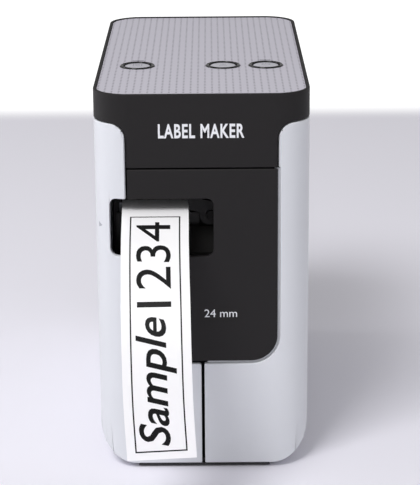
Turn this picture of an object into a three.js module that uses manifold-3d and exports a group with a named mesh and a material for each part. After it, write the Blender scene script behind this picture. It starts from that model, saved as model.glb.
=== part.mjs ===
// Desktop label maker: a narrow upright case with a tape cassette behind its left side cover.
// Millimetres, +Z up. The origin is on the table under the middle of the case,
// +X is to the right of someone who faces the tape slot, and the slot faces -Y.
import * as THREE from 'three';
import { mergeVertices } from 'three/addons/utils/BufferGeometryUtils.js';
import Module from 'manifold-3d';

const wasm = await Module();
wasm.setup();

// ---- Driving dimensions -------------------------------------------------------------------

// Case
const WIDTH = 78;
const DEPTH = 152;
const HEIGHT = 143;
const PLAN_CORNER = 13;
const BOTTOM_CORNER = 14;
const WALL = 2.2;
const SHELL_BOTTOM = 1.8;
const CAP_HEIGHT = 10.7;
const SEAM = 0.3;
const BIG = 400;

// Front face
const PANEL_HALF_WIDTH = 27.2;
const PANEL_BOTTOM = 42.4;
const PANEL_CORNER = 9.75;
const PANEL_SMALL_CORNER = 1.6;
const PANEL_SKIN = 1;
const SKIRT_BOTTOM = 116;
const SHOULDER_RADIUS = 5.5;
const GROOVE = 1;
const LEDGE_WIDTH = 2.2;
const LEDGE_DEPTH = 1.3;
const COVER_LIP_RIGHT = -0.8;
const LIP_GAP = 1.1;
const LIP_CORNER = 1;

// Tape slot
const SLOT_LEFT = -33.3;
const SLOT_RIGHT = 4;
const SLOT_BOTTOM = 82.9;
const SLOT_TOP = 104.5;
const SLOT_CORNER = 2.4;

// Top plate, buttons and lamps
const RIM = 1.2;
const PLATE_THICKNESS = 1.2;
const PLATE_SINK = 0.4;
const DECK_THICKNESS = 2.5;
const BUTTON_Y = -25;
const LEFT_BUTTON_X = -24.3;
const MIDDLE_BUTTON_X = 8.1;
const RIGHT_BUTTON_X = 24.3;
const BUTTON_RADIUS = 5;
const BEZEL_RADIUS = 6.5;
const BUTTON_GAP = 0.3;
const BUTTON_TRAVEL = 0.6;
const BUTTON_FLANGE = 1.3;
const STEM_RADIUS = 1.8;
const STEM_LENGTH = 4;
const LAMP_SETBACK = 9.5;
const LAMP_LENGTH = 4;
const LAMP_WIDTH = 1.2;

// Side cover hinge
const HINGE_X = -29;
const BARREL_RADIUS = 2.6;
const HINGE_ROD_RADIUS = 1;
const LUG_THICKNESS = 2.4;
const RUNNING_GAP = 0.2;
const REAR_PANEL_GAP = 0.5;

// Base and batteries
const BASE_CLEARANCE = 0.6;
const BASE_PLATE = 2.4;
const FOOT_RADIUS = 4;
const FOOT_RECESS = 1.1;
const FOOT_X = 12;
const FOOT_SETBACK = 11;
const CELL_RADIUS = 7.1;
const CELL_LENGTH = 49;
const CELL_NUB_RADIUS = 2.7;
const CELL_NUB_LENGTH = 1.2;
const CELL_PITCH = 14.7;
const CELL_COLUMNS = 3;
const BATTERY_WALL = 1.6;
const BATTERY_COVER_THICKNESS = 1.8;
const CONTACT_THICKNESS = 0.4;

// Tape, cassette and printing
const TAPE_X = -17.2;
const TAPE_Z = 96;
const TAPE_WIDTH = 24;
const TAPE_THICKNESS = 0.3;
const CASSETTE_SETBACK = 19;
const CASSETTE_LENGTH = 85;
const CASSETTE_BOTTOM = 42;
const CASSETTE_HEIGHT = 62;
const CASSETTE_SPARE_WIDTH = 4;
const CASSETTE_WALL = 1.5;
const CASSETTE_ARM = 8;
const HEAD_BAY_LENGTH = 20;
const HEAD_BAY_DEPTH = 24;
const HEAD_LENGTH = 4;
const HEAD_THICKNESS = 2.4;
const PLATEN_RADIUS = 5;
const PLATEN_SHAFT_RADIUS = 1.5;
const TAPE_GAP = 0.35;
const TAPE_ROLL_RADIUS = 20;
const RIBBON_ROLL_RADIUS = 9;
const SPINDLE_RADIUS = 3.4;

// Chassis, gears and cutter
const CHASSIS_THICKNESS = 2.2;
const CHASSIS_BOTTOM = 22.6;
const CHASSIS_TOP = 127;
const CHASSIS_SETBACK = 8;
const GEAR_MODULE = 0.8;
const GEAR_WIDTH = 4;
const GEAR_GAP = 0.1;
const PLATEN_TEETH = 24;
const IDLER_TEETH = 32;
const TAKE_UP_TEETH = 30;
const PINION_TEETH = 12;
const SECTOR_TEETH = 40;
const SECTOR_HALF_ANGLE = 24;
const BLADE_THICKNESS = 1;
const BLADE_GAP = 0.3;
const BLADE_REST_ANGLE = 13;
const BLADE_LENGTH = 34;
const CUTTER_FRAME_THICKNESS = 1.5;
const CUTTER_PIVOT_X = 3;
const CUTTER_MOTOR_RADIUS = 6;
const FEED_MOTOR_RADIUS = 12;
const FEED_MOTOR_LENGTH = 13;

// Boards
const BOARD_THICKNESS = 1.6;
const MAIN_BOARD_X = 24.2;
const MAIN_BOARD_SETBACK = 10;
const MAIN_BOARD_LENGTH = 98;
const MAIN_BOARD_BOTTOM = 34;
const MAIN_BOARD_TOP = 118;
const BOARD_POST_RADIUS = 2.5;
const KEY_BOARD_DROP = 8.4;

// ---- Places worked out from the driving dimensions ------------------------------------------

const HALF_WIDTH = WIDTH / 2;
const HALF_DEPTH = DEPTH / 2;
const INNER_X = HALF_WIDTH - WALL;
const INNER_Y = HALF_DEPTH - WALL;
const SIDE_TOP = HEIGHT - CAP_HEIGHT - SEAM;
const CAP_BOTTOM = HEIGHT - CAP_HEIGHT;
const PLATE_TOP = HEIGHT - PLATE_SINK;
const DECK_TOP = PLATE_TOP - PLATE_THICKNESS - SEAM;
const DECK_BOTTOM = DECK_TOP - DECK_THICKNESS;
const FLAT_HALF_WIDTH = HALF_WIDTH - BOTTOM_CORNER;
const BASE_HALF_WIDTH = FLAT_HALF_WIDTH - 0.5;
const BASE_TOP = BASE_CLEARANCE + BASE_PLATE;
const HINGE_Y = HALF_DEPTH - BARREL_RADIUS;
const REAR_PANEL_HALF_WIDTH = -HINGE_X - BARREL_RADIUS - REAR_PANEL_GAP;
const LOWER_LUG_BOTTOM = 5.2;
const BARREL_BOTTOM = LOWER_LUG_BOTTOM + LUG_THICKNESS + SEAM;
const UPPER_LUG_TOP = SIDE_TOP - 3.6;
const BARREL_TOP = UPPER_LUG_TOP - LUG_THICKNESS - SEAM;
const HINGE_NOTCH_RADIUS = BARREL_RADIUS + 0.4;

const FOOT_Y = HALF_DEPTH - FOOT_SETBACK;
const MAIN_BOARD_REAR = HALF_DEPTH - MAIN_BOARD_SETBACK;
const MAIN_BOARD_FRONT = MAIN_BOARD_REAR - MAIN_BOARD_LENGTH;

const CHASSIS_RIGHT = 0;
const CHASSIS_LEFT = CHASSIS_RIGHT - CHASSIS_THICKNESS;
const CHASSIS_REAR = HALF_DEPTH - CHASSIS_SETBACK;
const CASSETTE_FRONT = -HALF_DEPTH + CASSETTE_SETBACK;
const CASSETTE_THICKNESS = TAPE_WIDTH + CASSETTE_SPARE_WIDTH;
const CASSETTE_RIGHT = TAPE_X + CASSETTE_THICKNESS / 2;
const CASSETTE_LEFT = TAPE_X - CASSETTE_THICKNESS / 2;
const CASSETTE_TOP = CASSETTE_BOTTOM + CASSETTE_HEIGHT;
const CASSETTE_REAR = CASSETTE_FRONT + CASSETTE_LENGTH;
const HEAD_BAY_FRONT = CASSETTE_FRONT + CASSETTE_ARM;
const HEAD_BAY_REAR = HEAD_BAY_FRONT + HEAD_BAY_LENGTH;
const HEAD_BAY_BOTTOM = CASSETTE_TOP - HEAD_BAY_DEPTH;
const HEAD_Y = (HEAD_BAY_FRONT + HEAD_BAY_REAR) / 2;
const TAPE_TOP = TAPE_Z + TAPE_THICKNESS / 2;
const TAPE_UNDERSIDE = TAPE_Z - TAPE_THICKNESS / 2;
const TAPE_LEFT = TAPE_X - TAPE_WIDTH / 2;
const TAPE_RIGHT = TAPE_X + TAPE_WIDTH / 2;
const PLATEN_CENTRE = { y: HEAD_Y, z: TAPE_TOP + TAPE_GAP + PLATEN_RADIUS };
const TAKE_UP_CENTRE = { y: HEAD_Y + 7, z: CASSETTE_BOTTOM + 18 };
const HOLDER_PIVOT = { y: HEAD_Y + 27, z: CASSETTE_TOP + 8 };
const GEAR_LEFT = CHASSIS_RIGHT + 1.2;
const GEAR_RIGHT = GEAR_LEFT + GEAR_WIDTH;
const BRACKET_LEFT = GEAR_RIGHT + 2;
const BRACKET_RIGHT = BRACKET_LEFT + 1.5;

const CUTTER_FRAME_REAR = CASSETTE_FRONT - 2.1;
const CUTTER_FRAME_FRONT = CUTTER_FRAME_REAR - CUTTER_FRAME_THICKNESS;
const FIXED_BLADE_FRONT = CUTTER_FRAME_FRONT - BLADE_GAP - BLADE_THICKNESS;
const MOVING_BLADE_REAR = FIXED_BLADE_FRONT - BLADE_GAP;
const MOVING_BLADE_FRONT = MOVING_BLADE_REAR - BLADE_THICKNESS;
const CHASSIS_FRONT = CUTTER_FRAME_REAR + SEAM;
const CUTTER_PIVOT_Z = TAPE_Z - 1;

// ---- Solids -----------------------------------------------------------------------------------

function toSolid(geometry) {
  geometry.deleteAttribute('normal');
  geometry.deleteAttribute('uv');
  const merged = mergeVertices(geometry, 1e-5);
  return new wasm.Manifold(new wasm.Mesh({
    numProp: 3,
    vertProperties: new Float32Array(merged.attributes.position.array),
    triVerts: new Uint32Array(merged.index.array),
  }));
}

function toGeometry(solid) {
  const mesh = solid.getMesh();
  const geometry = new THREE.BufferGeometry();
  geometry.setAttribute('position', new THREE.BufferAttribute(mesh.vertProperties, 3));
  geometry.setIndex(new THREE.BufferAttribute(mesh.triVerts, 1));
  geometry.computeVertexNormals();
  return geometry;
}

function block(x0, x1, y0, y1, z0, z1) {
  const geometry = new THREE.BoxGeometry(x1 - x0, y1 - y0, z1 - z0);
  geometry.translate((x0 + x1) / 2, (y0 + y1) / 2, (z0 + z1) / 2);
  return toSolid(geometry);
}

function extruded(shape, length, curveSegments) {
  return new THREE.ExtrudeGeometry(shape, { depth: length, bevelEnabled: false, curveSegments });
}

// A shape drawn in X and Y, raised from z0 to z1.
function raised(shape, z0, z1, curveSegments = 3) {
  const geometry = extruded(shape, z1 - z0, curveSegments);
  geometry.translate(0, 0, z0);
  return toSolid(geometry);
}

// A shape drawn in X and Z, running from y0 to y1.
function acrossY(shape, y0, y1, curveSegments = 3) {
  const geometry = extruded(shape, y1 - y0, curveSegments);
  geometry.rotateX(Math.PI / 2);
  geometry.translate(0, y1, 0);
  return toSolid(geometry);
}

// A shape drawn in Y and Z, running from x0 to x1.
function acrossX(shape, x0, x1, curveSegments = 3) {
  const geometry = extruded(shape, x1 - x0, curveSegments);
  const axes = new THREE.Matrix4().makeBasis(
    new THREE.Vector3(0, 1, 0), new THREE.Vector3(0, 0, 1), new THREE.Vector3(1, 0, 0));
  geometry.applyMatrix4(axes);
  geometry.translate(x0, 0, 0);
  return toSolid(geometry);
}

function rodX(y, z, radius, x0, x1, sides = 20) {
  const geometry = new THREE.CylinderGeometry(radius, radius, x1 - x0, sides);
  geometry.rotateZ(-Math.PI / 2);
  geometry.translate((x0 + x1) / 2, y, z);
  return toSolid(geometry);
}

function rodY(x, z, radius, y0, y1, sides = 20) {
  const geometry = new THREE.CylinderGeometry(radius, radius, y1 - y0, sides);
  geometry.translate(x, (y0 + y1) / 2, z);
  return toSolid(geometry);
}

function rodZ(x, y, radius, z0, z1, sides = 20) {
  const geometry = new THREE.CylinderGeometry(radius, radius, z1 - z0, sides);
  geometry.rotateX(Math.PI / 2);
  geometry.translate(x, y, (z0 + z1) / 2);
  return toSolid(geometry);
}

function joined(solids) {
  return solids.reduce((sum, solid) => sum.add(solid));
}

function cut(solid, tools) {
  return tools.reduce((rest, tool) => rest.subtract(tool), solid);
}

function polygon(points) {
  return new THREE.Shape(points.map(([u, v]) => new THREE.Vector2(u, v)));
}

function roundedRectangle(u0, u1, v0, v1, radius) {
  const shape = new THREE.Shape();
  shape.moveTo(u0 + radius, v0);
  shape.lineTo(u1 - radius, v0);
  shape.absarc(u1 - radius, v0 + radius, radius, -Math.PI / 2, 0);
  shape.lineTo(u1, v1 - radius);
  shape.absarc(u1 - radius, v1 - radius, radius, 0, Math.PI / 2);
  shape.lineTo(u0 + radius, v1);
  shape.absarc(u0 + radius, v1 - radius, radius, Math.PI / 2, Math.PI);
  shape.lineTo(u0, v0 + radius);
  shape.absarc(u0 + radius, v0 + radius, radius, Math.PI, Math.PI * 1.5);
  return shape;
}

// Straight-sided gear outline around the origin, with a tooth centred on the angle `phase`.
function gearOutline(teeth, phase) {
  const pitchRadius = GEAR_MODULE * teeth / 2;
  const tipRadius = pitchRadius + GEAR_MODULE * 0.85;
  const rootRadius = pitchRadius - GEAR_MODULE * 1.15;
  const tipHalfAngle = GEAR_MODULE * 0.28 / tipRadius;
  const rootHalfAngle = GEAR_MODULE * 0.95 / rootRadius;
  const corners = [
    [-rootHalfAngle, rootRadius],
    [-tipHalfAngle, tipRadius],
    [tipHalfAngle, tipRadius],
    [rootHalfAngle, rootRadius],
  ];
  const points = [];
  for (let tooth = 0; tooth < teeth; tooth += 1) {
    const middle = phase + tooth * 2 * Math.PI / teeth;
    for (const [offset, radius] of corners) {
      points.push([radius * Math.cos(middle + offset), radius * Math.sin(middle + offset)]);
    }
  }
  return polygon(points);
}

function moved(solid, x, y, z) {
  return solid.translate([x, y, z]);
}

function gearX(teeth, phase, centre) {
  return moved(acrossX(gearOutline(teeth, phase), GEAR_LEFT, GEAR_RIGHT), 0, centre.y, centre.z);
}

function pitchRadius(teeth) {
  return GEAR_MODULE * teeth / 2;
}

function meshDistance(teethA, teethB) {
  return pitchRadius(teethA) + pitchRadius(teethB) + GEAR_GAP;
}

// The phase that puts gear B in mesh with gear A, which lies in the direction `angle` + 180 from B.
function meshedPhase(phaseA, teethA, teethB, angle) {
  const pitchesPast = (angle - phaseA) * teethA / (2 * Math.PI);
  return angle + Math.PI + (pitchesPast + 0.5) * 2 * Math.PI / teethB;
}

// ---- Outer case ----------------------------------------------------------------------------------

// The whole case form, drawn in by `inset`, between two heights.
function caseForm(inset, bottom, top) {
  const plan = roundedRectangle(
    -HALF_WIDTH + inset, HALF_WIDTH - inset, -HALF_DEPTH + inset, HALF_DEPTH - inset,
    PLAN_CORNER - inset);
  const front = roundedRectangle(
    -HALF_WIDTH + inset, HALF_WIDTH - inset, SHELL_BOTTOM + inset, HEIGHT + BIG,
    BOTTOM_CORNER - inset);
  return raised(plan, bottom, top, 4).intersect(acrossY(front, -DEPTH, DEPTH, 4));
}

// The four-sided side wall between the base and the cap, open above and below.
function sideWalls() {
  const outer = caseForm(0, SHELL_BOTTOM, SIDE_TOP);
  const inner = caseForm(WALL, 0, HEIGHT);
  const floorOpening = block(
    -FLAT_HALF_WIDTH, FLAT_HALF_WIDTH, -INNER_Y, INNER_Y, 0, BOTTOM_CORNER);
  return cut(outer, [inner, floorOpening]);
}

function slotCut() {
  const outline = roundedRectangle(SLOT_LEFT, SLOT_RIGHT, SLOT_BOTTOM, SLOT_TOP, SLOT_CORNER);
  return acrossY(outline, -DEPTH, -HALF_DEPTH + PLAN_CORNER);
}

const ZONE_SPLIT = HALF_DEPTH - 26;
const COVER_EDGE = PANEL_HALF_WIDTH + SEAM;
const LIP_TOP = PANEL_BOTTOM - GROOVE;
const SHOULDER_X = COVER_EDGE + SHOULDER_RADIUS;
const SHOULDER_Z = SIDE_TOP - SHOULDER_RADIUS;

// Front view of what belongs to the side cover.
function coverFrontOutline() {
  const shape = new THREE.Shape();
  shape.moveTo(-BIG, -BIG);
  shape.lineTo(COVER_LIP_RIGHT, -BIG);
  shape.lineTo(COVER_LIP_RIGHT, LIP_TOP - LIP_CORNER);
  shape.absarc(COVER_LIP_RIGHT - LIP_CORNER, LIP_TOP - LIP_CORNER, LIP_CORNER, 0, Math.PI / 2);
  shape.lineTo(-COVER_EDGE + LIP_CORNER, LIP_TOP);
  shape.absarc(-COVER_EDGE + LIP_CORNER, LIP_TOP + LIP_CORNER, LIP_CORNER,
    -Math.PI / 2, -Math.PI, true);
  shape.lineTo(-COVER_EDGE, SHOULDER_Z);
  shape.absarc(-SHOULDER_X, SHOULDER_Z, SHOULDER_RADIUS, 0, Math.PI / 2);
  shape.lineTo(-BIG, SIDE_TOP);
  return shape;
}

// Front view of what belongs to the right shell, its opening edge set back from the lower panel.
function shellFrontOutline(ledge) {
  const grooveX = PANEL_HALF_WIDTH + GROOVE - ledge;
  const grooveZ = LIP_TOP + ledge;
  const cornerX = PANEL_HALF_WIDTH - PANEL_CORNER;
  const cornerZ = PANEL_BOTTOM + PANEL_CORNER;
  const cornerRadius = PANEL_CORNER + GROOVE - ledge;
  const left = COVER_LIP_RIGHT + LIP_GAP + (ledge > 0 ? 1.2 : 0);
  const shape = new THREE.Shape();
  shape.moveTo(left, -BIG);
  shape.lineTo(BIG, -BIG);
  shape.lineTo(BIG, SIDE_TOP);
  shape.lineTo(SHOULDER_X, SIDE_TOP);
  shape.absarc(SHOULDER_X, SHOULDER_Z, SHOULDER_RADIUS, Math.PI / 2, Math.PI);
  shape.lineTo(COVER_EDGE, SKIRT_BOTTOM);
  shape.lineTo(grooveX, SKIRT_BOTTOM);
  shape.lineTo(grooveX, cornerZ);
  shape.absarc(cornerX, cornerZ, cornerRadius, 0, -Math.PI / 2, true);
  shape.lineTo(left, grooveZ);
  return shape;
}

function cassetteCover() {
  const front = acrossY(coverFrontOutline(), -DEPTH, -ZONE_SPLIT);
  const side = block(-BIG, -FLAT_HALF_WIDTH, -ZONE_SPLIT - 1, HINGE_Y - 3.4, -BIG, BIG);
  const rear = block(-BIG, HINGE_X, HINGE_Y - 4, DEPTH, -BIG, BIG);
  const barrel = rodZ(HINGE_X, HINGE_Y, BARREL_RADIUS, BARREL_BOTTOM, BARREL_TOP, 24);
  const rodBore = rodZ(HINGE_X, HINGE_Y, HINGE_ROD_RADIUS + RUNNING_GAP, 0, HEIGHT, 16);
  const wall = sideWalls().intersect(joined([front, side, rear]));
  const notchRight = HINGE_X + BARREL_RADIUS;
  const lowerNotch = block(HINGE_X - HINGE_NOTCH_RADIUS, notchRight, HINGE_Y - HINGE_NOTCH_RADIUS,
    HALF_DEPTH + 1, LOWER_LUG_BOTTOM - SEAM, BARREL_BOTTOM);
  const upperNotch = block(HINGE_X - HINGE_NOTCH_RADIUS, notchRight, HINGE_Y - HINGE_NOTCH_RADIUS,
    HALF_DEPTH + 1, BARREL_TOP, HEIGHT);
  return cut(cut(wall, [lowerNotch, upperNotch]).add(barrel), [rodBore, slotCut()]);
}

function rightShell() {
  const front = acrossY(shellFrontOutline(0), -DEPTH, -ZONE_SPLIT);
  const side = block(FLAT_HALF_WIDTH, BIG, -ZONE_SPLIT - 1, HINGE_Y - 3.4, -BIG, BIG);
  const rear = block(REAR_PANEL_HALF_WIDTH + REAR_PANEL_GAP, BIG, HINGE_Y - 4, DEPTH, -BIG, BIG);
  const wall = sideWalls().intersect(joined([front, side, rear]));
  const ledgeSlab = block(0, INNER_X, -HALF_DEPTH + LEDGE_DEPTH, -INNER_Y, 0, SKIRT_BOTTOM - SEAM);
  const ledge = acrossY(shellFrontOutline(GROOVE + LEDGE_WIDTH), -DEPTH, 0)
    .intersect(ledgeSlab)
    .intersect(caseForm(LEDGE_DEPTH, LIP_TOP - 4, SKIRT_BOTTOM));
  const posts = [];
  for (const y of [MAIN_BOARD_FRONT + 8, MAIN_BOARD_REAR - 12]) {
    for (const z of [MAIN_BOARD_BOTTOM + 6, MAIN_BOARD_TOP - 6]) {
      posts.push(rodX(y, z, BOARD_POST_RADIUS, MAIN_BOARD_X + BOARD_THICKNESS + SEAM, INNER_X + 0.5, 12));
    }
  }
  return joined([wall, ledge, ...posts]);
}

// Black lower front, with the tape slot open towards the side cover.
function frontPanel() {
  const left = -PANEL_HALF_WIDTH + SEAM;
  const outline = (inset) => {
    const shape = new THREE.Shape();
    const top = SKIRT_BOTTOM - 0.5 - (inset > 0 ? 1 : 0);
    const bottom = PANEL_BOTTOM + inset;
    const right = PANEL_HALF_WIDTH - inset;
    const small = PANEL_SMALL_CORNER;
    const large = PANEL_CORNER - Math.min(inset, PANEL_CORNER / 2);
    shape.moveTo(left + small, bottom);
    shape.lineTo(right - large, bottom);
    shape.absarc(right - large, bottom + large, large, -Math.PI / 2, 0);
    shape.lineTo(right, top);
    shape.lineTo(left, top);
    shape.lineTo(left, bottom + small);
    shape.absarc(left + small, bottom + small, small, Math.PI, Math.PI * 1.5);
    return shape;
  };
  const skinRear = -HALF_DEPTH + PANEL_SKIN;
  const skin = acrossY(outline(0), -HALF_DEPTH, skinRear, 4);
  const backing = acrossY(outline(LEDGE_WIDTH + GROOVE), skinRear - 0.2, -INNER_Y, 4);
  const posts = [50, 76, 110].map((z) => block(8, 12, -INNER_Y - 0.5, -INNER_Y + 6, z, z + 3));
  return cut(joined([skin, backing, ...posts]), [slotCut()]);
}

function rearPanel() {
  const halfWidth = REAR_PANEL_HALF_WIDTH;
  const plate = block(-halfWidth, halfWidth, INNER_Y, HALF_DEPTH, BASE_TOP + SEAM, SIDE_TOP);
  const vents = [];
  for (let row = 0; row < 5; row += 1) {
    const z = SIDE_TOP - 14 - row * 4;
    vents.push(block(-14, 14, INNER_Y - 1, HALF_DEPTH + 1, z, z + 1.6));
  }
  return cut(plate, [usbWindow(), jackWindow(), ...vents]);
}

// ---- Cap, plate, buttons and lamps ------------------------------------------------------------------

const BUTTON_XS = [LEFT_BUTTON_X, MIDDLE_BUTTON_X, RIGHT_BUTTON_X];
const LAMP_XS = [LEFT_BUTTON_X, RIGHT_BUTTON_X];
const LAMP_Y = BUTTON_Y + LAMP_SETBACK;
const WELL_RADIUS = BUTTON_RADIUS + BUTTON_GAP + 0.2;
const FLANGE_TOP = DECK_BOTTOM - SEAM;
const FLANGE_BOTTOM = FLANGE_TOP - 1;
const STEM_BOTTOM = FLANGE_BOTTOM - STEM_LENGTH;
const KEY_BOARD_TOP = DECK_BOTTOM - KEY_BOARD_DROP;

function skirtOutline() {
  const skirtHalf = PANEL_HALF_WIDTH;
  const filletRadius = SHOULDER_X - skirtHalf;
  const filletZ = CAP_BOTTOM - filletRadius;
  const shape = new THREE.Shape();
  shape.moveTo(-skirtHalf, SKIRT_BOTTOM);
  shape.lineTo(skirtHalf, SKIRT_BOTTOM);
  shape.lineTo(skirtHalf, filletZ);
  shape.absarc(SHOULDER_X, filletZ, filletRadius, Math.PI, Math.PI / 2, true);
  shape.lineTo(BIG, CAP_BOTTOM);
  shape.lineTo(BIG, HEIGHT + 1);
  shape.lineTo(-BIG, HEIGHT + 1);
  shape.lineTo(-BIG, CAP_BOTTOM);
  shape.lineTo(-SHOULDER_X, CAP_BOTTOM);
  shape.absarc(-SHOULDER_X, filletZ, filletRadius, Math.PI / 2, 0, true);
  return shape;
}

function topCap() {
  const outer = caseForm(0, SKIRT_BOTTOM, HEIGHT);
  const cavity = caseForm(WALL, 0, DECK_BOTTOM);
  const plateRecess = raised(plateOutline(RIM), DECK_TOP, HEIGHT + 1, 4);
  const skirtZone = acrossY(skirtOutline(), -DEPTH, -ZONE_SPLIT, 4);
  const sideZone = block(-BIG, BIG, -ZONE_SPLIT - 1, BIG, CAP_BOTTOM, BIG);
  const wells = BUTTON_XS.map((x) => rodZ(x, BUTTON_Y, WELL_RADIUS, 0, HEIGHT + 1, 24));
  const lampHoles = LAMP_XS.map((x) => lampBlock(x, SEAM, 0, HEIGHT + 1));
  const boardPosts = [];
  for (const x of [-31, 31]) {
    for (const y of [BUTTON_Y - 12, BUTTON_Y + 16]) {
      boardPosts.push(rodZ(x, y, 2, KEY_BOARD_TOP + SEAM, DECK_BOTTOM + 0.5, 12));
    }
  }
  const lugRear = INNER_Y - SEAM;
  const lugFront = HINGE_Y - BARREL_RADIUS + 0.2;
  const lugBottom = UPPER_LUG_TOP - LUG_THICKNESS;
  const lug = joined([
    rodZ(HINGE_X, HINGE_Y, BARREL_RADIUS - 0.2, lugBottom, UPPER_LUG_TOP),
    block(HINGE_X, HINGE_X + 9, lugFront, lugRear, lugBottom, UPPER_LUG_TOP),
    block(HINGE_X + 4, HINGE_X + 9, lugFront, lugRear, lugBottom, DECK_BOTTOM + 0.5),
  ]);
  const rodBore = rodZ(HINGE_X, HINGE_Y, HINGE_ROD_RADIUS + RUNNING_GAP, 0, UPPER_LUG_TOP + 1, 16);
  const body = outer.intersect(skirtZone.add(sideZone));
  const hollow = cut(body, [cavity, plateRecess, ...wells, ...lampHoles]);
  return cut(joined([hollow, ...boardPosts, lug]), [rodBore]);
}

function plateOutline(inset) {
  return roundedRectangle(-HALF_WIDTH + inset, HALF_WIDTH - inset,
    -HALF_DEPTH + inset, HALF_DEPTH - inset, PLAN_CORNER - inset);
}

function lampBlock(x, margin, z0, z1) {
  return block(x - LAMP_LENGTH / 2 - margin, x + LAMP_LENGTH / 2 + margin,
    LAMP_Y - LAMP_WIDTH / 2 - margin, LAMP_Y + LAMP_WIDTH / 2 + margin, z0, z1);
}

function topPlate() {
  const sheet = raised(plateOutline(RIM + 0.15), DECK_TOP + SEAM, PLATE_TOP, 4);
  const holes = BUTTON_XS.map((x) => rodZ(x, BUTTON_Y, BEZEL_RADIUS + 0.15, 0, HEIGHT + 1, 32));
  const lampHoles = LAMP_XS.map((x) => lampBlock(x, 0.15, 0, HEIGHT + 1));
  return cut(sheet, [...holes, ...lampHoles]);
}

function lathed(profile, sides) {
  const geometry = new THREE.LatheGeometry(profile.map(([r, z]) => new THREE.Vector2(r, z)), sides);
  geometry.rotateX(Math.PI / 2);
  return toSolid(geometry);
}

function bezel(x) {
  const outer = rodZ(x, BUTTON_Y, BEZEL_RADIUS, DECK_TOP + SEAM, HEIGHT, 32);
  return cut(outer, [rodZ(x, BUTTON_Y, BUTTON_RADIUS + BUTTON_GAP, 0, HEIGHT + 1, 32)]);
}

// Button cap, its retaining flange under the deck and the stem that meets the switch.
function button(x) {
  const crown = HEIGHT - 0.1;
  const profile = [
    [0, STEM_BOTTOM],
    [STEM_RADIUS, STEM_BOTTOM],
    [STEM_RADIUS, FLANGE_BOTTOM],
    [BUTTON_RADIUS + BUTTON_FLANGE, FLANGE_BOTTOM],
    [BUTTON_RADIUS + BUTTON_FLANGE, FLANGE_TOP],
    [BUTTON_RADIUS, FLANGE_TOP],
    [BUTTON_RADIUS, crown - 0.4],
    [BUTTON_RADIUS * 0.7, crown - 0.1],
    [0, crown],
  ];
  return moved(lathed(profile, 28), x, BUTTON_Y, 0);
}

function lamp(x) {
  return lampBlock(x, 0, KEY_BOARD_TOP + 2.4, PLATE_TOP);
}

// Circuit board under the keys, with a press switch under each button and a light under each lamp.
function keyBoard() {
  const board = block(-33, 33, BUTTON_Y - 14, BUTTON_Y + 18, KEY_BOARD_TOP - BOARD_THICKNESS,
    KEY_BOARD_TOP);
  const plungerTop = STEM_BOTTOM - BUTTON_TRAVEL - 0.2;
  const pieces = [board];
  for (const x of BUTTON_XS) {
    const low = KEY_BOARD_TOP - 0.2;
    pieces.push(block(x - 3, x + 3, BUTTON_Y - 3, BUTTON_Y + 3, low, plungerTop - 0.6));
    pieces.push(rodZ(x, BUTTON_Y, 1.5, KEY_BOARD_TOP, plungerTop, 12));
  }
  for (const x of LAMP_XS) {
    pieces.push(lampBlock(x, 0.2, KEY_BOARD_TOP - 0.2, KEY_BOARD_TOP + 2));
  }
  return joined(pieces);
}

// ---- Base and batteries ---------------------------------------------------------------------------

const CELL_Z = BASE_TOP + CELL_RADIUS + SEAM;
const BATTERY_HALF_WIDTH = CELL_PITCH + CELL_RADIUS + SEAM;
const CELL_ROW_LENGTH = CELL_LENGTH + CELL_NUB_LENGTH;
const BATTERY_HALF_LENGTH = CELL_ROW_LENGTH + 3;
const BATTERY_ROOF = CELL_Z + CELL_RADIUS + 0.8;
const COVER_HALF_LENGTH = BATTERY_HALF_LENGTH - 1.5;
const CHASSIS_POST_X = 7;
const CHASSIS_POST_YS = [-48, 48];
const SCREW_RADIUS = 1.2;

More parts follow.
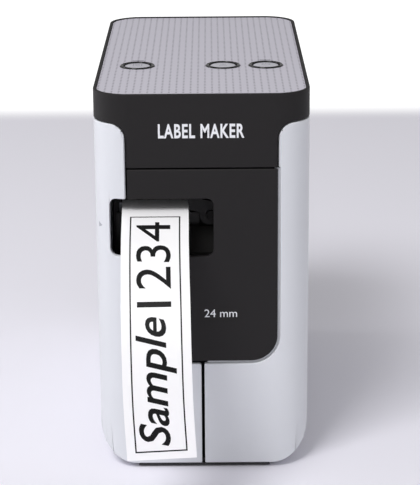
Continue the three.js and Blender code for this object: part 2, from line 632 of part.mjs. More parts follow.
function baseTray() {
  const flange = block(-BASE_HALF_WIDTH, BASE_HALF_WIDTH, -HALF_DEPTH + 1, HALF_DEPTH - 1,
    BASE_CLEARANCE, SHELL_BOTTOM - SEAM);
  const plate = block(-BASE_HALF_WIDTH, BASE_HALF_WIDTH, -INNER_Y + SEAM, INNER_Y - SEAM,
    BASE_CLEARANCE, BASE_TOP);
  const box = block(-BATTERY_HALF_WIDTH - BATTERY_WALL, BATTERY_HALF_WIDTH + BATTERY_WALL,
    -BATTERY_HALF_LENGTH - BATTERY_WALL, BATTERY_HALF_LENGTH + BATTERY_WALL,
    BASE_CLEARANCE, BATTERY_ROOF + BATTERY_WALL);
  const hollow = block(-BATTERY_HALF_WIDTH, BATTERY_HALF_WIDTH,
    -BATTERY_HALF_LENGTH, BATTERY_HALF_LENGTH, 0, BATTERY_ROOF);
  const posts = CHASSIS_POST_YS.map((y) => rodZ(CHASSIS_POST_X, y, 3,
    BATTERY_ROOF + 1, CHASSIS_BOTTOM - SEAM, 16));
  const screwHoles = CHASSIS_POST_YS.map((y) => rodZ(CHASSIS_POST_X, y, SCREW_RADIUS + RUNNING_GAP,
    BATTERY_ROOF + 0.6, CHASSIS_BOTTOM, 12));
  const feetPockets = footPlaces().map(({ x, y }) => rodZ(x, y, FOOT_RADIUS + RUNNING_GAP, 0,
    BASE_CLEARANCE + FOOT_RECESS + 0.2, 24));
  const lugRear = INNER_Y - SEAM;
  const lugFront = HINGE_Y - BARREL_RADIUS + 0.2;
  const lugTop = LOWER_LUG_BOTTOM + LUG_THICKNESS;
  const lug = joined([
    rodZ(HINGE_X, HINGE_Y, BARREL_RADIUS - 0.2, LOWER_LUG_BOTTOM, lugTop),
    block(HINGE_X, HINGE_X + 9, lugFront, lugRear, LOWER_LUG_BOTTOM, lugTop),
    block(-BASE_HALF_WIDTH, HINGE_X + 9, lugFront, lugRear, BASE_TOP - 0.5, lugTop),
  ]);
  const rodBore = rodZ(HINGE_X, HINGE_Y, HINGE_ROD_RADIUS + RUNNING_GAP, LOWER_LUG_BOTTOM + 0.8,
    HEIGHT, 16);
  const body = cut(joined([flange, plate, box]), [hollow]);
  return cut(joined([body, ...posts, lug]), [...screwHoles, ...feetPockets, rodBore]);
}

function footPlaces() {
  return [
    { name: 'foot_front_left', x: -FOOT_X, y: -FOOT_Y },
    { name: 'foot_front_right', x: FOOT_X, y: -FOOT_Y },
    { name: 'foot_rear_left', x: -FOOT_X, y: FOOT_Y },
    { name: 'foot_rear_right', x: FOOT_X, y: FOOT_Y },
  ];
}

function foot({ x, y }) {
  return rodZ(x, y, FOOT_RADIUS, 0, BASE_CLEARANCE + FOOT_RECESS - 0.1, 24);
}

function batteryCover() {
  const halfWidth = BATTERY_HALF_WIDTH - 0.4;
  return block(-halfWidth, halfWidth, -COVER_HALF_LENGTH, COVER_HALF_LENGTH,
    BASE_CLEARANCE, BASE_CLEARANCE + BATTERY_COVER_THICKNESS);
}

function batteryCell(column, row) {
  const profile = [
    [0, 0],
    [CELL_RADIUS, 0],
    [CELL_RADIUS, CELL_LENGTH],
    [CELL_NUB_RADIUS, CELL_LENGTH],
    [CELL_NUB_RADIUS, CELL_LENGTH + CELL_NUB_LENGTH],
    [0, CELL_LENGTH + CELL_NUB_LENGTH],
  ];
  const turned = column % 2 === 0;
  const upright = lathed(profile, 20);
  const alongY = turned ? upright.rotate([-90, 0, 0]) : upright.rotate([90, 0, 0]);
  const near = row === 0 ? -CELL_ROW_LENGTH - SEAM : SEAM;
  const start = turned ? near : near + CELL_ROW_LENGTH;
  return moved(alongY, (column - 1) * CELL_PITCH, start, CELL_Z);
}

// Spring-metal strip with one bump for each column of cells.
function batteryContacts(side) {
  const outer = side * (BATTERY_HALF_LENGTH - SEAM);
  const inner = side * (BATTERY_HALF_LENGTH - SEAM - CONTACT_THICKNESS);
  const strip = block(-BATTERY_HALF_WIDTH + 1, BATTERY_HALF_WIDTH - 1,
    Math.min(outer, inner), Math.max(outer, inner), CELL_Z - 5, CELL_Z + 5);
  const bumps = [-1, 0, 1].map((column) => {
    const tip = side * (CELL_ROW_LENGTH + 2 * SEAM);
    return rodY(column * CELL_PITCH, CELL_Z, 2.2, Math.min(tip, outer), Math.max(tip, outer), 12);
  });
  return joined([strip, ...bumps]);
}

// ---- Chassis -----------------------------------------------------------------------------------------

const PLATEN_TO_TAKE_UP = {
  y: TAKE_UP_CENTRE.y - PLATEN_CENTRE.y,
  z: TAKE_UP_CENTRE.z - PLATEN_CENTRE.z,
};
const IDLER_CENTRE = idlerCentre();
const PINION_DIRECTION = -20 * Math.PI / 180;
const FEED_MOTOR_DISTANCE = meshDistance(IDLER_TEETH, PINION_TEETH);
const FEED_MOTOR_CENTRE = {
  y: IDLER_CENTRE.y + FEED_MOTOR_DISTANCE * Math.cos(PINION_DIRECTION),
  z: IDLER_CENTRE.z + FEED_MOTOR_DISTANCE * Math.sin(PINION_DIRECTION),
};

// The idler meshes with the platen gear and the take-up gear at once, on their rear side.
function idlerCentre() {
  const spread = Math.hypot(PLATEN_TO_TAKE_UP.y, PLATEN_TO_TAKE_UP.z);
  const toPlaten = meshDistance(PLATEN_TEETH, IDLER_TEETH);
  const toTakeUp = meshDistance(TAKE_UP_TEETH, IDLER_TEETH);
  const along = (toPlaten ** 2 - toTakeUp ** 2 + spread ** 2) / (2 * spread);
  const across = Math.sqrt(toPlaten ** 2 - along ** 2);
  const unit = { y: PLATEN_TO_TAKE_UP.y / spread, z: PLATEN_TO_TAKE_UP.z / spread };
  return {
    y: PLATEN_CENTRE.y + along * unit.y - across * unit.z,
    z: PLATEN_CENTRE.z + along * unit.z + across * unit.y,
  };
}

const SPRING_X = -17;
const SPRING_Y = HEAD_Y + 7;
const HOLDER_TOP = HOLDER_PIVOT.z + 4;
const SPRING_LENGTH = 7;
const SPRING_LUG_BOTTOM = HOLDER_TOP + SPRING_LENGTH + 2 * SEAM;

// Upright plate between the cassette bay and the drive, with its fixed studs and lugs.
function chassisPlate() {
  const plate = block(CHASSIS_LEFT, CHASSIS_RIGHT, CHASSIS_FRONT, CHASSIS_REAR,
    CHASSIS_BOTTOM, CHASSIS_TOP);
  const flange = block(CHASSIS_LEFT, 14, CHASSIS_FRONT, CHASSIS_REAR,
    CHASSIS_BOTTOM, CHASSIS_BOTTOM + CHASSIS_THICKNESS);
  const springLug = block(SPRING_X - 4, CHASSIS_RIGHT, SPRING_Y - 4, SPRING_Y + 4,
    SPRING_LUG_BOTTOM, SPRING_LUG_BOTTOM + 2);
  const holderPin = rodX(HOLDER_PIVOT.y, HOLDER_PIVOT.z, 1.8, TAPE_LEFT - 3, CHASSIS_RIGHT - 0.5);
  const idlerStud = rodX(IDLER_CENTRE.y, IDLER_CENTRE.z, 1.5, CHASSIS_LEFT + 0.5, GEAR_RIGHT + 1.5);
  const spindleHole = rodX(TAKE_UP_CENTRE.y, TAKE_UP_CENTRE.z, SPINDLE_RADIUS + 0.3,
    CHASSIS_LEFT - 1, CHASSIS_RIGHT + 1);
  const shaftSlot = block(CHASSIS_LEFT - 1, CHASSIS_RIGHT + 1, HEAD_Y - 5, HEAD_Y + 3.5,
    PLATEN_CENTRE.z - 3.5, PLATEN_CENTRE.z + 7);
  const window = acrossX(roundedRectangle(CASSETTE_REAR + 4, CHASSIS_REAR - 8,
    CHASSIS_BOTTOM + 14, CHASSIS_TOP - 14, 6), CHASSIS_LEFT - 1, CHASSIS_RIGHT + 1, 4);
  const screwHoles = CHASSIS_POST_YS.map((y) => rodZ(CHASSIS_POST_X, y, SCREW_RADIUS + RUNNING_GAP,
    CHASSIS_BOTTOM - 1, CHASSIS_BOTTOM + CHASSIS_THICKNESS + 1, 12));
  const body = joined([plate, flange, springLug, holderPin, idlerStud]);
  return cut(body, [spindleHole, shaftSlot, window, ...screwHoles]);
}

function chassisScrew(y) {
  const headBottom = CHASSIS_BOTTOM + CHASSIS_THICKNESS + SEAM;
  return joined([
    rodZ(CHASSIS_POST_X, y, SCREW_RADIUS, BATTERY_ROOF + 0.9, headBottom + 0.5, 12),
    rodZ(CHASSIS_POST_X, y, SCREW_RADIUS * 2, headBottom, headBottom + 1.6, 16),
  ]);
}

function motorBracket() {
  const low = FEED_MOTOR_CENTRE.z - FEED_MOTOR_RADIUS;
  const outline = roundedRectangle(HEAD_Y - 11, FEED_MOTOR_CENTRE.y + FEED_MOTOR_RADIUS,
    low - 1, IDLER_CENTRE.z + 15, 3);
  const plate = acrossX(outline, BRACKET_LEFT, BRACKET_RIGHT, 4);
  const spacers = [
    { y: FEED_MOTOR_CENTRE.y + 8, z: IDLER_CENTRE.z + 11 },
    { y: FEED_MOTOR_CENTRE.y + 8, z: low + 3 },
    { y: HEAD_Y - 7, z: IDLER_CENTRE.z - 4 },
  ].map(({ y, z }) => rodX(y, z, 2.5, CHASSIS_RIGHT + SEAM, BRACKET_LEFT + 0.5, 12));
  const shaftHole = rodX(FEED_MOTOR_CENTRE.y, FEED_MOTOR_CENTRE.z, 4, BRACKET_LEFT - 1,
    BRACKET_RIGHT + 1, 20);
  return cut(joined([plate, ...spacers]), [shaftHole]);
}

// ---- Feed drive ---------------------------------------------------------------------------------------

function directionTo(from, to) {
  return Math.atan2(to.z - from.z, to.y - from.y);
}

const PLATEN_PHASE = 0;
const IDLER_PHASE = meshedPhase(PLATEN_PHASE, PLATEN_TEETH, IDLER_TEETH,
  directionTo(PLATEN_CENTRE, IDLER_CENTRE));
const TAKE_UP_PHASE = meshedPhase(IDLER_PHASE, IDLER_TEETH, TAKE_UP_TEETH,
  directionTo(IDLER_CENTRE, TAKE_UP_CENTRE));
const PINION_PHASE = meshedPhase(IDLER_PHASE, IDLER_TEETH, PINION_TEETH,
  directionTo(IDLER_CENTRE, FEED_MOTOR_CENTRE));
const MOTOR_SHAFT_RADIUS = 1;
const MOTOR_SHAFT_ENGAGEMENT = 5;

function motorX(centre, radius, x0, x1) {
  const can = rodX(centre.y, centre.z, radius, x0, x1, 32);
  const boss = rodX(centre.y, centre.z, 3.5, x0 - 1.2, x0 + 0.5, 20);
  const bore = rodX(centre.y, centre.z, MOTOR_SHAFT_RADIUS + RUNNING_GAP, x0 - 2,
    x0 + MOTOR_SHAFT_ENGAGEMENT + SEAM, 12);
  return cut(can.add(boss), [bore]);
}

function feedMotor() {
  return motorX(FEED_MOTOR_CENTRE, FEED_MOTOR_RADIUS, BRACKET_RIGHT + SEAM,
    BRACKET_RIGHT + SEAM + FEED_MOTOR_LENGTH);
}

function feedPinion() {
  const { y, z } = FEED_MOTOR_CENTRE;
  const shaftEnd = BRACKET_RIGHT + SEAM + MOTOR_SHAFT_ENGAGEMENT;
  return gearX(PINION_TEETH, PINION_PHASE, FEED_MOTOR_CENTRE)
    .add(rodX(y, z, MOTOR_SHAFT_RADIUS, GEAR_LEFT, shaftEnd, 12));
}

function idlerGear() {
  const { y, z } = IDLER_CENTRE;
  const bore = rodX(y, z, 1.5 + RUNNING_GAP, GEAR_LEFT - 1, GEAR_RIGHT + 1, 16);
  return cut(gearX(IDLER_TEETH, IDLER_PHASE, IDLER_CENTRE), [bore]);
}

// Gear with a splined spindle that turns the ribbon roll inside the cassette.
function takeUpSpindle() {
  const { y, z } = TAKE_UP_CENTRE;
  const left = TAPE_LEFT + 3;
  const shaft = rodX(y, z, SPINDLE_RADIUS - 0.9, left, GEAR_LEFT + 0.5, 16);
  const hub = rodX(y, z, SPINDLE_RADIUS, CASSETTE_RIGHT - CASSETTE_WALL, GEAR_LEFT + 0.5, 20);
  const splines = [0, 60, 120].map((angle) => {
    const bar = block(left, CASSETTE_RIGHT, -SPINDLE_RADIUS, SPINDLE_RADIUS, -0.5, 0.5);
    return moved(bar.rotate([angle, 0, 0]), 0, y, z);
  });
  return joined([gearX(TAKE_UP_TEETH, TAKE_UP_PHASE, TAKE_UP_CENTRE), shaft, hub, ...splines]);
}

const HOLDER_LEFT_ARM = TAPE_LEFT - 2.2;
const HOLDER_RIGHT_ARM = CASSETTE_RIGHT - 1.2;
const ARM_THICKNESS = 1.4;
const ROLLER_MARGIN = 0.3;

function platenRoller() {
  const { y, z } = PLATEN_CENTRE;
  const left = HOLDER_LEFT_ARM + ARM_THICKNESS + ROLLER_MARGIN;
  const right = HOLDER_RIGHT_ARM - ROLLER_MARGIN;
  return cut(rodX(y, z, PLATEN_RADIUS, left, right, 32),
    [rodX(y, z, PLATEN_SHAFT_RADIUS + 0.1, left - 1, right + 1, 16)]);
}

function platenShaft() {
  const { y, z } = PLATEN_CENTRE;
  return rodX(y, z, PLATEN_SHAFT_RADIUS, HOLDER_LEFT_ARM - 0.8, GEAR_RIGHT + 1, 16);
}

function platenGear() {
  const { y, z } = PLATEN_CENTRE;
  const bore = rodX(y, z, PLATEN_SHAFT_RADIUS + 0.1, GEAR_LEFT - 1, GEAR_RIGHT + 1, 16);
  return cut(gearX(PLATEN_TEETH, PLATEN_PHASE, PLATEN_CENTRE), [bore]);
}

// Swinging yoke that presses the platen roller on the tape.
function rollerHolder() {
  const { y, z } = PLATEN_CENTRE;
  const side = polygon([
    [y - 4, z - 3.7],
    [y + 4, z - 3.7],
    [y + 4.6, CASSETTE_TOP + 3],
    [HOLDER_PIVOT.y, CASSETTE_TOP + 3],
    [HOLDER_PIVOT.y + 4, HOLDER_PIVOT.z],
    [HOLDER_PIVOT.y + 2, HOLDER_TOP],
    [y + 1, HOLDER_TOP],
    [y - 4, HOLDER_TOP - 6],
  ]);
  const leftArm = acrossX(side, HOLDER_LEFT_ARM, HOLDER_LEFT_ARM + ARM_THICKNESS);
  const rightArm = acrossX(side, HOLDER_RIGHT_ARM, HOLDER_RIGHT_ARM + ARM_THICKNESS);
  const bridge = block(HOLDER_LEFT_ARM, HOLDER_RIGHT_ARM + ARM_THICKNESS,
    y + 1, HOLDER_PIVOT.y - 3, HOLDER_TOP - 1.5, HOLDER_TOP);
  const shaftHole = rodX(y, z, PLATEN_SHAFT_RADIUS + RUNNING_GAP, -BIG / 4, BIG / 4, 16);
  const pinHole = rodX(HOLDER_PIVOT.y, HOLDER_PIVOT.z, 1.8 + RUNNING_GAP, -BIG / 4, BIG / 4, 20);
  return cut(joined([leftArm, rightArm, bridge]), [shaftHole, pinHole]);
}

class Helix extends THREE.Curve {
  constructor(radius, height, turns) {
    super();
    Object.assign(this, { radius, height, turns });
  }

  getPoint(t, target = new THREE.Vector3()) {
    const angle = t * this.turns * 2 * Math.PI;
    return target.set(this.radius * Math.cos(angle), this.radius * Math.sin(angle), this.height * t);
  }
}

function holderSpring() {
  const wire = 0.5;
  const turns = 5;
  const section = new THREE.Shape();
  section.absarc(0, 0, wire, 0, 2 * Math.PI);
  const path = new Helix(2.6, SPRING_LENGTH - 2 * wire, turns);
  const geometry = new THREE.ExtrudeGeometry(section, {
    steps: turns * 12, extrudePath: path, bevelEnabled: false, curveSegments: 3,
  });
  return moved(toSolid(geometry), SPRING_X, SPRING_Y, HOLDER_TOP + SEAM + wire);
}

// ---- Print head and cutter ------------------------------------------------------------------------------

const HEAD_TOP = TAPE_UNDERSIDE - TAPE_GAP;

function printHead() {
  return block(TAPE_LEFT, TAPE_RIGHT, HEAD_Y - HEAD_LENGTH / 2, HEAD_Y + HEAD_LENGTH / 2,
    HEAD_TOP - HEAD_THICKNESS, HEAD_TOP);
}

function heatSink() {
  const top = HEAD_TOP - HEAD_THICKNESS - SEAM;
  return block(TAPE_LEFT - 1.4, CHASSIS_LEFT - SEAM, HEAD_Y - 5, HEAD_Y + 5,
    HEAD_BAY_BOTTOM + 2, top);
}

const CUTTER_MOTOR_X = CUTTER_PIVOT_X + meshDistance(SECTOR_TEETH, PINION_TEETH);
const CUTTER_PIN_RADIUS = 1.6;

// Steel plate across the front of the chassis, with a window for the tape.
function cutterFrame() {
  const plate = block(TAPE_LEFT - 3.4, CUTTER_MOTOR_X + CUTTER_MOTOR_RADIUS + 2,
    CUTTER_FRAME_FRONT, CUTTER_FRAME_REAR, TAPE_Z - 18, TAPE_Z + 18);
  const window = block(TAPE_LEFT - 1.4, TAPE_RIGHT + 1.4, CUTTER_FRAME_FRONT - 1,
    CUTTER_FRAME_REAR + 1, TAPE_Z - 3, TAPE_Z + 3);
  const pin = rodY(CUTTER_PIVOT_X, CUTTER_PIVOT_Z, CUTTER_PIN_RADIUS,
    MOVING_BLADE_FRONT - 0.6, CUTTER_FRAME_REAR - 0.2, 16);
  const shaftHole = rodY(CUTTER_MOTOR_X, CUTTER_PIVOT_Z, MOTOR_SHAFT_RADIUS + 0.6,
    CUTTER_FRAME_FRONT - 1, CUTTER_FRAME_REAR + 1, 16);
  return cut(plate, [window, shaftHole]).add(pin);
}

function fixedBlade() {
  const front = FIXED_BLADE_FRONT;
  return block(TAPE_LEFT - 2.4, TAPE_RIGHT + 4, front, front + BLADE_THICKNESS,
    TAPE_Z - 12, TAPE_UNDERSIDE - TAPE_GAP);
}

function spin(solid, angle, x, z) {
  return solid.translate([-x, 0, -z]).rotate([0, angle, 0]).translate([x, 0, z]);
}

const SECTOR_PHASE = 0;

// Blade arm and toothed sector on one plate that turns about the cutter pin.
function movingBlade() {
  const x = CUTTER_PIVOT_X;
  const z = CUTTER_PIVOT_Z;
  const level = acrossY(polygon([
    [x, z - 0.2],
    [x, z + 5],
    [x - BLADE_LENGTH + 3, z + 4.5],
    [x - BLADE_LENGTH, z],
    [x - 7, z],
  ]), MOVING_BLADE_FRONT, MOVING_BLADE_REAR);
  const arm = spin(level, BLADE_REST_ANGLE, x, z);
  const wheel = moved(acrossY(gearOutline(SECTOR_TEETH, SECTOR_PHASE),
    MOVING_BLADE_FRONT, MOVING_BLADE_REAR), x, 0, z);
  const reach = pitchRadius(SECTOR_TEETH) * 1.5;
  const rise = reach * Math.tan(SECTOR_HALF_ANGLE * Math.PI / 180);
  const wedge = acrossY(polygon([
    [x - 0.5, z - 0.5],
    [x + reach, z - rise],
    [x + reach, z + rise],
    [x - 0.5, z + 0.5],
  ]), -DEPTH, 0);
  const hub = rodY(x, z, 4, MOVING_BLADE_FRONT, MOVING_BLADE_REAR, 24);
  const hole = rodY(x, z, CUTTER_PIN_RADIUS + RUNNING_GAP, -DEPTH, 0, 16);
  return cut(joined([arm, wheel.intersect(wedge), hub]), [hole]);
}

function cutterPinion() {
  const phase = meshedPhase(SECTOR_PHASE, SECTOR_TEETH, PINION_TEETH, 0);
  const gear = moved(acrossY(gearOutline(PINION_TEETH, phase),
    MOVING_BLADE_FRONT - 0.5, MOVING_BLADE_REAR + 0.3), CUTTER_MOTOR_X, 0, CUTTER_PIVOT_Z);
  const shaft = rodY(CUTTER_MOTOR_X, CUTTER_PIVOT_Z, MOTOR_SHAFT_RADIUS,
    MOVING_BLADE_FRONT - 0.5, CUTTER_FRAME_REAR + SEAM + MOTOR_SHAFT_ENGAGEMENT, 12);
  return gear.add(shaft);
}

function cutterMotor() {
  const front = CUTTER_FRAME_REAR + SEAM;
  const can = rodY(CUTTER_MOTOR_X, CUTTER_PIVOT_Z, CUTTER_MOTOR_RADIUS, front, front + 20, 24);
  const bore = rodY(CUTTER_MOTOR_X, CUTTER_PIVOT_Z, MOTOR_SHAFT_RADIUS + RUNNING_GAP, front - 1,
    front + MOTOR_SHAFT_ENGAGEMENT + SEAM, 12);
  return cut(can, [bore]);
}

// Black throat behind the slot: a ramp below the tape, a roof above it and a wall on its right.
function exitGuide() {
  const front = -INNER_Y + 1.6;
  const rear = MOVING_BLADE_FRONT - 1;
  const left = -PANEL_HALF_WIDTH - 1.5;
  const right = SLOT_RIGHT + 1;
  const ramp = acrossX(polygon([
    [front, SLOT_BOTTOM - 4],
    [rear, SLOT_BOTTOM - 4],
    [rear, SLOT_BOTTOM + 8],
    [front, SLOT_BOTTOM + 0.4],
  ]), left, right);
  const roof = acrossX(polygon([
    [front, SLOT_TOP + 0.4],
    [rear, SLOT_TOP + 0.4],
    [rear, SLOT_TOP + 3],
    [front, SLOT_TOP + 3],
  ]), left, right);
  const wall = block(right - 0.5, right + 1.2, front, rear, SLOT_BOTTOM - 4, SLOT_TOP + 3);
  const posts = [SLOT_BOTTOM - 4, SLOT_TOP + 1].map((z) => block(right, right + 6,
    rear - 2, CUTTER_FRAME_FRONT - SEAM, z, z + 2));
  return joined([ramp, roof, wall, ...posts]);
}

// ---- Cassette and tape ---------------------------------------------------------------------------------

function cassetteOutline(inset) {
  const front = CASSETTE_FRONT + inset;
  const rear = CASSETTE_REAR - inset;
  const bottom = CASSETTE_BOTTOM + inset;
  const top = CASSETTE_TOP - inset;
  const bayFront = HEAD_BAY_FRONT - inset;
  const bayRear = HEAD_BAY_REAR + inset;
  const bayBottom = HEAD_BAY_BOTTOM - inset;
  return polygon([
    [front + 2, bottom],
    [rear - 2, bottom],
    [rear, bottom + 2],
    [rear, top - 2],
    [rear - 2, top],
    [bayRear, top],
    [bayRear, bayBottom],
    [bayFront, bayBottom],
    [bayFront, top],
    [front + 1, top],
    [front, top - 1],
    [front, bottom + 2],
  ]);
}

const CASE_LEFT = CASSETTE_LEFT + CASSETTE_WALL + 0.2;

function cassetteCase() {
  const outer = acrossX(cassetteOutline(0), CASE_LEFT, CASSETTE_RIGHT);
  const inner = acrossX(cassetteOutline(CASSETTE_WALL), CASE_LEFT - 1,
    CASSETTE_RIGHT - CASSETTE_WALL);
  const tapeSlot = block(CASE_LEFT - 1, CASSETTE_RIGHT - CASSETTE_WALL, CASSETTE_FRONT - 1,
    HEAD_BAY_REAR + CASSETTE_WALL + 0.5, TAPE_Z - 0.7, TAPE_Z + 0.7);
  const spindleHole = rodX(TAKE_UP_CENTRE.y, TAKE_UP_CENTRE.z, SPINDLE_RADIUS + 0.6,
    CASSETTE_RIGHT - 4, CASSETTE_RIGHT + 1);
  const spoolBoss = rodX(TAPE_ROLL.y, TAPE_ROLL.z, 4, TAPE_LEFT + 2, CASSETTE_RIGHT - 0.5, 20);
  return cut(outer, [inner, tapeSlot, spindleHole]).add(spoolBoss);
}

function cassetteLid() {
  const outer = acrossX(cassetteOutline(0), CASSETTE_LEFT, CASE_LEFT - SEAM);
  const view = acrossX(roundedRectangle(CASSETTE_REAR - 22, CASSETTE_REAR - 8,
    CASSETTE_TOP - 16, CASSETTE_TOP - 8, 2), CASSETTE_LEFT - 1, CASE_LEFT);
  return cut(outer, [view]);
}

const TAPE_ROLL = {
  y: CASSETTE_REAR - CASSETTE_WALL - TAPE_ROLL_RADIUS - 1,
  z: CASSETTE_BOTTOM + CASSETTE_WALL + TAPE_ROLL_RADIUS + 4,
};

function tapeSpool() {
  const roll = rodX(TAPE_ROLL.y, TAPE_ROLL.z, TAPE_ROLL_RADIUS, TAPE_LEFT, TAPE_RIGHT, 32);
  return cut(roll, [rodX(TAPE_ROLL.y, TAPE_ROLL.z, 4.4, TAPE_LEFT - 1, TAPE_RIGHT + 1, 20)]);
}

function ribbonSpool() {
  const { y, z } = TAKE_UP_CENTRE;
  const roll = rodX(y, z, RIBBON_ROLL_RADIUS, TAPE_LEFT + 1, TAPE_RIGHT - 1, 28);
  return cut(roll, [rodX(y, z, SPINDLE_RADIUS + 0.5, TAPE_LEFT, TAPE_RIGHT, 20)]);
}

// Tape that leaves the roll, crosses the print head and ends at the blades.
function cassetteTape() {
  const half = TAPE_THICKNESS / 2;
  const start = TAPE_ROLL.y;
  const startZ = TAPE_ROLL.z + TAPE_ROLL_RADIUS + 0.5 + half;
  const bend = HEAD_BAY_REAR + 4;
  const end = MOVING_BLADE_REAR + 0.4;
  return acrossX(polygon([
    [end, TAPE_Z - half],
    [bend, TAPE_Z - half],
    [start, startZ - half],
    [start, startZ + half],
    [bend, TAPE_Z + half],
    [end, TAPE_Z + half],
  ]), TAPE_LEFT, TAPE_RIGHT);
}

const LABEL_THICKNESS = 0.4;
const LABEL_STATIONS = 28;
const LABEL_LEAN = 3;
const STRIP_RISE = 4.8;
// Along the strip: across from the tape's middle, out from the case's front, up from the tape.
const LABEL_HANG = [
  [0.3, 0.7, 2.9],
  [0.4, 13, -2.7],
  [0.6, 23.4, -9.2],
  [1, 36.6, -20.2],
  [1.3, 44.4, -33],
  [1.8, 49.8, -50],
  [2.9, 52.8, -69.4],
];
const LABEL_CENTRES = [
  new THREE.Vector3(TAPE_X, MOVING_BLADE_FRONT - 0.4, TAPE_Z + STRIP_RISE),
  ...LABEL_HANG.map(([across, out, up]) => new THREE.Vector3(
    TAPE_X + across, -HALF_DEPTH - out, TAPE_Z + up)),
];

// Printed strip: it leaves the slot level, arches over and hangs in front of the case.
function labelStrip() {
  const curve = new THREE.CatmullRomCurve3(LABEL_CENTRES, false, 'centripetal');
  const positions = [];
  const indices = [];
  for (let station = 0; station <= LABEL_STATIONS; station += 1) {
    const t = station / LABEL_STATIONS;
    const centre = curve.getPointAt(t);
    const along = curve.getTangentAt(t);
    const lean = LABEL_LEAN * t * t * Math.PI / 180;
    const across = new THREE.Vector3(Math.cos(lean), 0, Math.sin(lean));
    const out = across.clone().cross(along).normalize().multiplyScalar(LABEL_THICKNESS / 2);
    const half = across.multiplyScalar(TAPE_WIDTH / 2);
    const corners = [
      centre.clone().sub(half).sub(out),
      centre.clone().add(half).sub(out),
      centre.clone().add(half).add(out),
      centre.clone().sub(half).add(out),
    ];
    for (const corner of corners) {
      positions.push(corner.x, corner.y, corner.z);
    }
    if (station > 0) {
      const now = station * 4;
      const before = now - 4;
      for (let side = 0; side < 4; side += 1) {
        const next = (side + 1) % 4;
        indices.push(before + side, now + next, before + next);
        indices.push(before + side, now + side, now + next);
      }
    }
  }
  const last = LABEL_STATIONS * 4;
  indices.push(0, 2, 3, 0, 1, 2);
  indices.push(last, last + 2, last + 1, last, last + 3, last + 2);
  const geometry = new THREE.BufferGeometry();
  geometry.setAttribute('position', new THREE.Float32BufferAttribute(positions, 3));
  geometry.setIndex(indices);
  return toSolid(geometry);
}

// ---- Boards and sockets ------------------------------------------------------------------------------------

const SOCKET_FLOOR = MAIN_BOARD_X - SEAM;
const USB = { z: 46, height: 7.7, depth: 3.9, wall: 0.45 };
const JACK = { z: 62, height: 11, depth: 9.2, bore: 3.1, pin: 0.9 };
const SOCKET_REAR = HALF_DEPTH - 0.6;
const SOCKET_LENGTH = 10;

function usbWindow() {
  return block(SOCKET_FLOOR - USB.depth - SEAM, SOCKET_FLOOR + SEAM, 0, HALF_DEPTH + 1,
    USB.z - SEAM, USB.z + USB.height + SEAM);
}

function jackWindow() {
  return block(SOCKET_FLOOR - JACK.depth - SEAM, SOCKET_FLOOR + SEAM, 0, HALF_DEPTH + 1,
    JACK.z - SEAM, JACK.z + JACK.height + SEAM);
}

function usbSocket() {
  const left = SOCKET_FLOOR - USB.depth;
  const front = SOCKET_REAR - SOCKET_LENGTH;
  const shell = block(left, SOCKET_FLOOR, front, SOCKET_REAR, USB.z, USB.z + USB.height);
  const mouth = block(left + USB.wall, SOCKET_FLOOR - USB.wall, front + 1.5, SOCKET_REAR + 1,
    USB.z + USB.wall, USB.z + USB.height - USB.wall);
  const tongue = block(left + 1.5, left + 2.3, front + 1, SOCKET_REAR - 1,
    USB.z + 1.6, USB.z + USB.height - 1.6);
  return cut(shell, [mouth]).add(tongue);
}

function powerJack() {
  const left = SOCKET_FLOOR - JACK.depth;
  const front = SOCKET_REAR - SOCKET_LENGTH - 2;
  const x = SOCKET_FLOOR - JACK.depth / 2;
  const z = JACK.z + JACK.height / 2;
  const body = block(left, SOCKET_FLOOR, front, SOCKET_REAR, JACK.z, JACK.z + JACK.height);
  const bore = rodY(x, z, JACK.bore, front + 2, SOCKET_REAR + 1, 24);
  const pin = rodY(x, z, JACK.pin, front + 1, SOCKET_REAR - 1, 12);
  return cut(body, [bore]).add(pin);
}

function mainBoard() {
  const face = MAIN_BOARD_X;
  const board = block(face, face + BOARD_THICKNESS, MAIN_BOARD_FRONT, MAIN_BOARD_REAR,
    MAIN_BOARD_BOTTOM, MAIN_BOARD_TOP);
  const chips = [
    { y: 14, z: 96, width: 14, height: 14, rise: 1.6 },
    { y: 36, z: 88, width: 10, height: 8, rise: 1.4 },
    { y: 44, z: 108, width: 16, height: 5, rise: 5 },
    { y: 8, z: 44, width: 12, height: 9, rise: 6 },
  ].map(({ y, z, width, height, rise }) => block(face - rise, face + 0.5,
    y - width / 2, y + width / 2, z - height / 2, z + height / 2));
  return joined([board, ...chips]);
}

// ---- Assembly -----------------------------------------------------------------------------------------------

const group = new THREE.Group();

function finish(color, roughness, metalness = 0) {
  return { color, roughness, metalness };
}

const BLACK = finish(0x2e2d2f, 0.55);
const GLOSS_BLACK = finish(0x18181a, 0.15);
const WHITE = finish(0xe3e5ea, 0.35);
const SILVER = finish(0xb8b6be, 0.4);
const PALE = finish(0xd9d8dd, 0.35);
const GREY = finish(0x6b6d72, 0.6);
const DARK_RUBBER = finish(0x1b1b1c, 0.85);
const STEEL = finish(0x9a9da1, 0.35, 1);
const ALUMINIUM = finish(0xb9bcc0, 0.4, 1);
const BRIGHT_METAL = finish(0xc9ccd0, 0.25, 1);
const GEAR_WHITE = finish(0xe9e6dc, 0.5);
const BOARD_GREEN = finish(0x1f5a3a, 0.5);
const TAPE_WHITE = finish(0xf4f4f6, 0.2);
const CELL_COPPER = finish(0xa8682f, 0.35, 0.6);
const LENS = finish(0xd7d8dc, 0.2);
const SMOKE = finish(0xa9aeb4, 0.25);

function add(name, solid, look) {
  const mesh = new THREE.Mesh(toGeometry(solid), new THREE.MeshStandardMaterial(look));
  mesh.name = name;
  group.add(mesh);
}

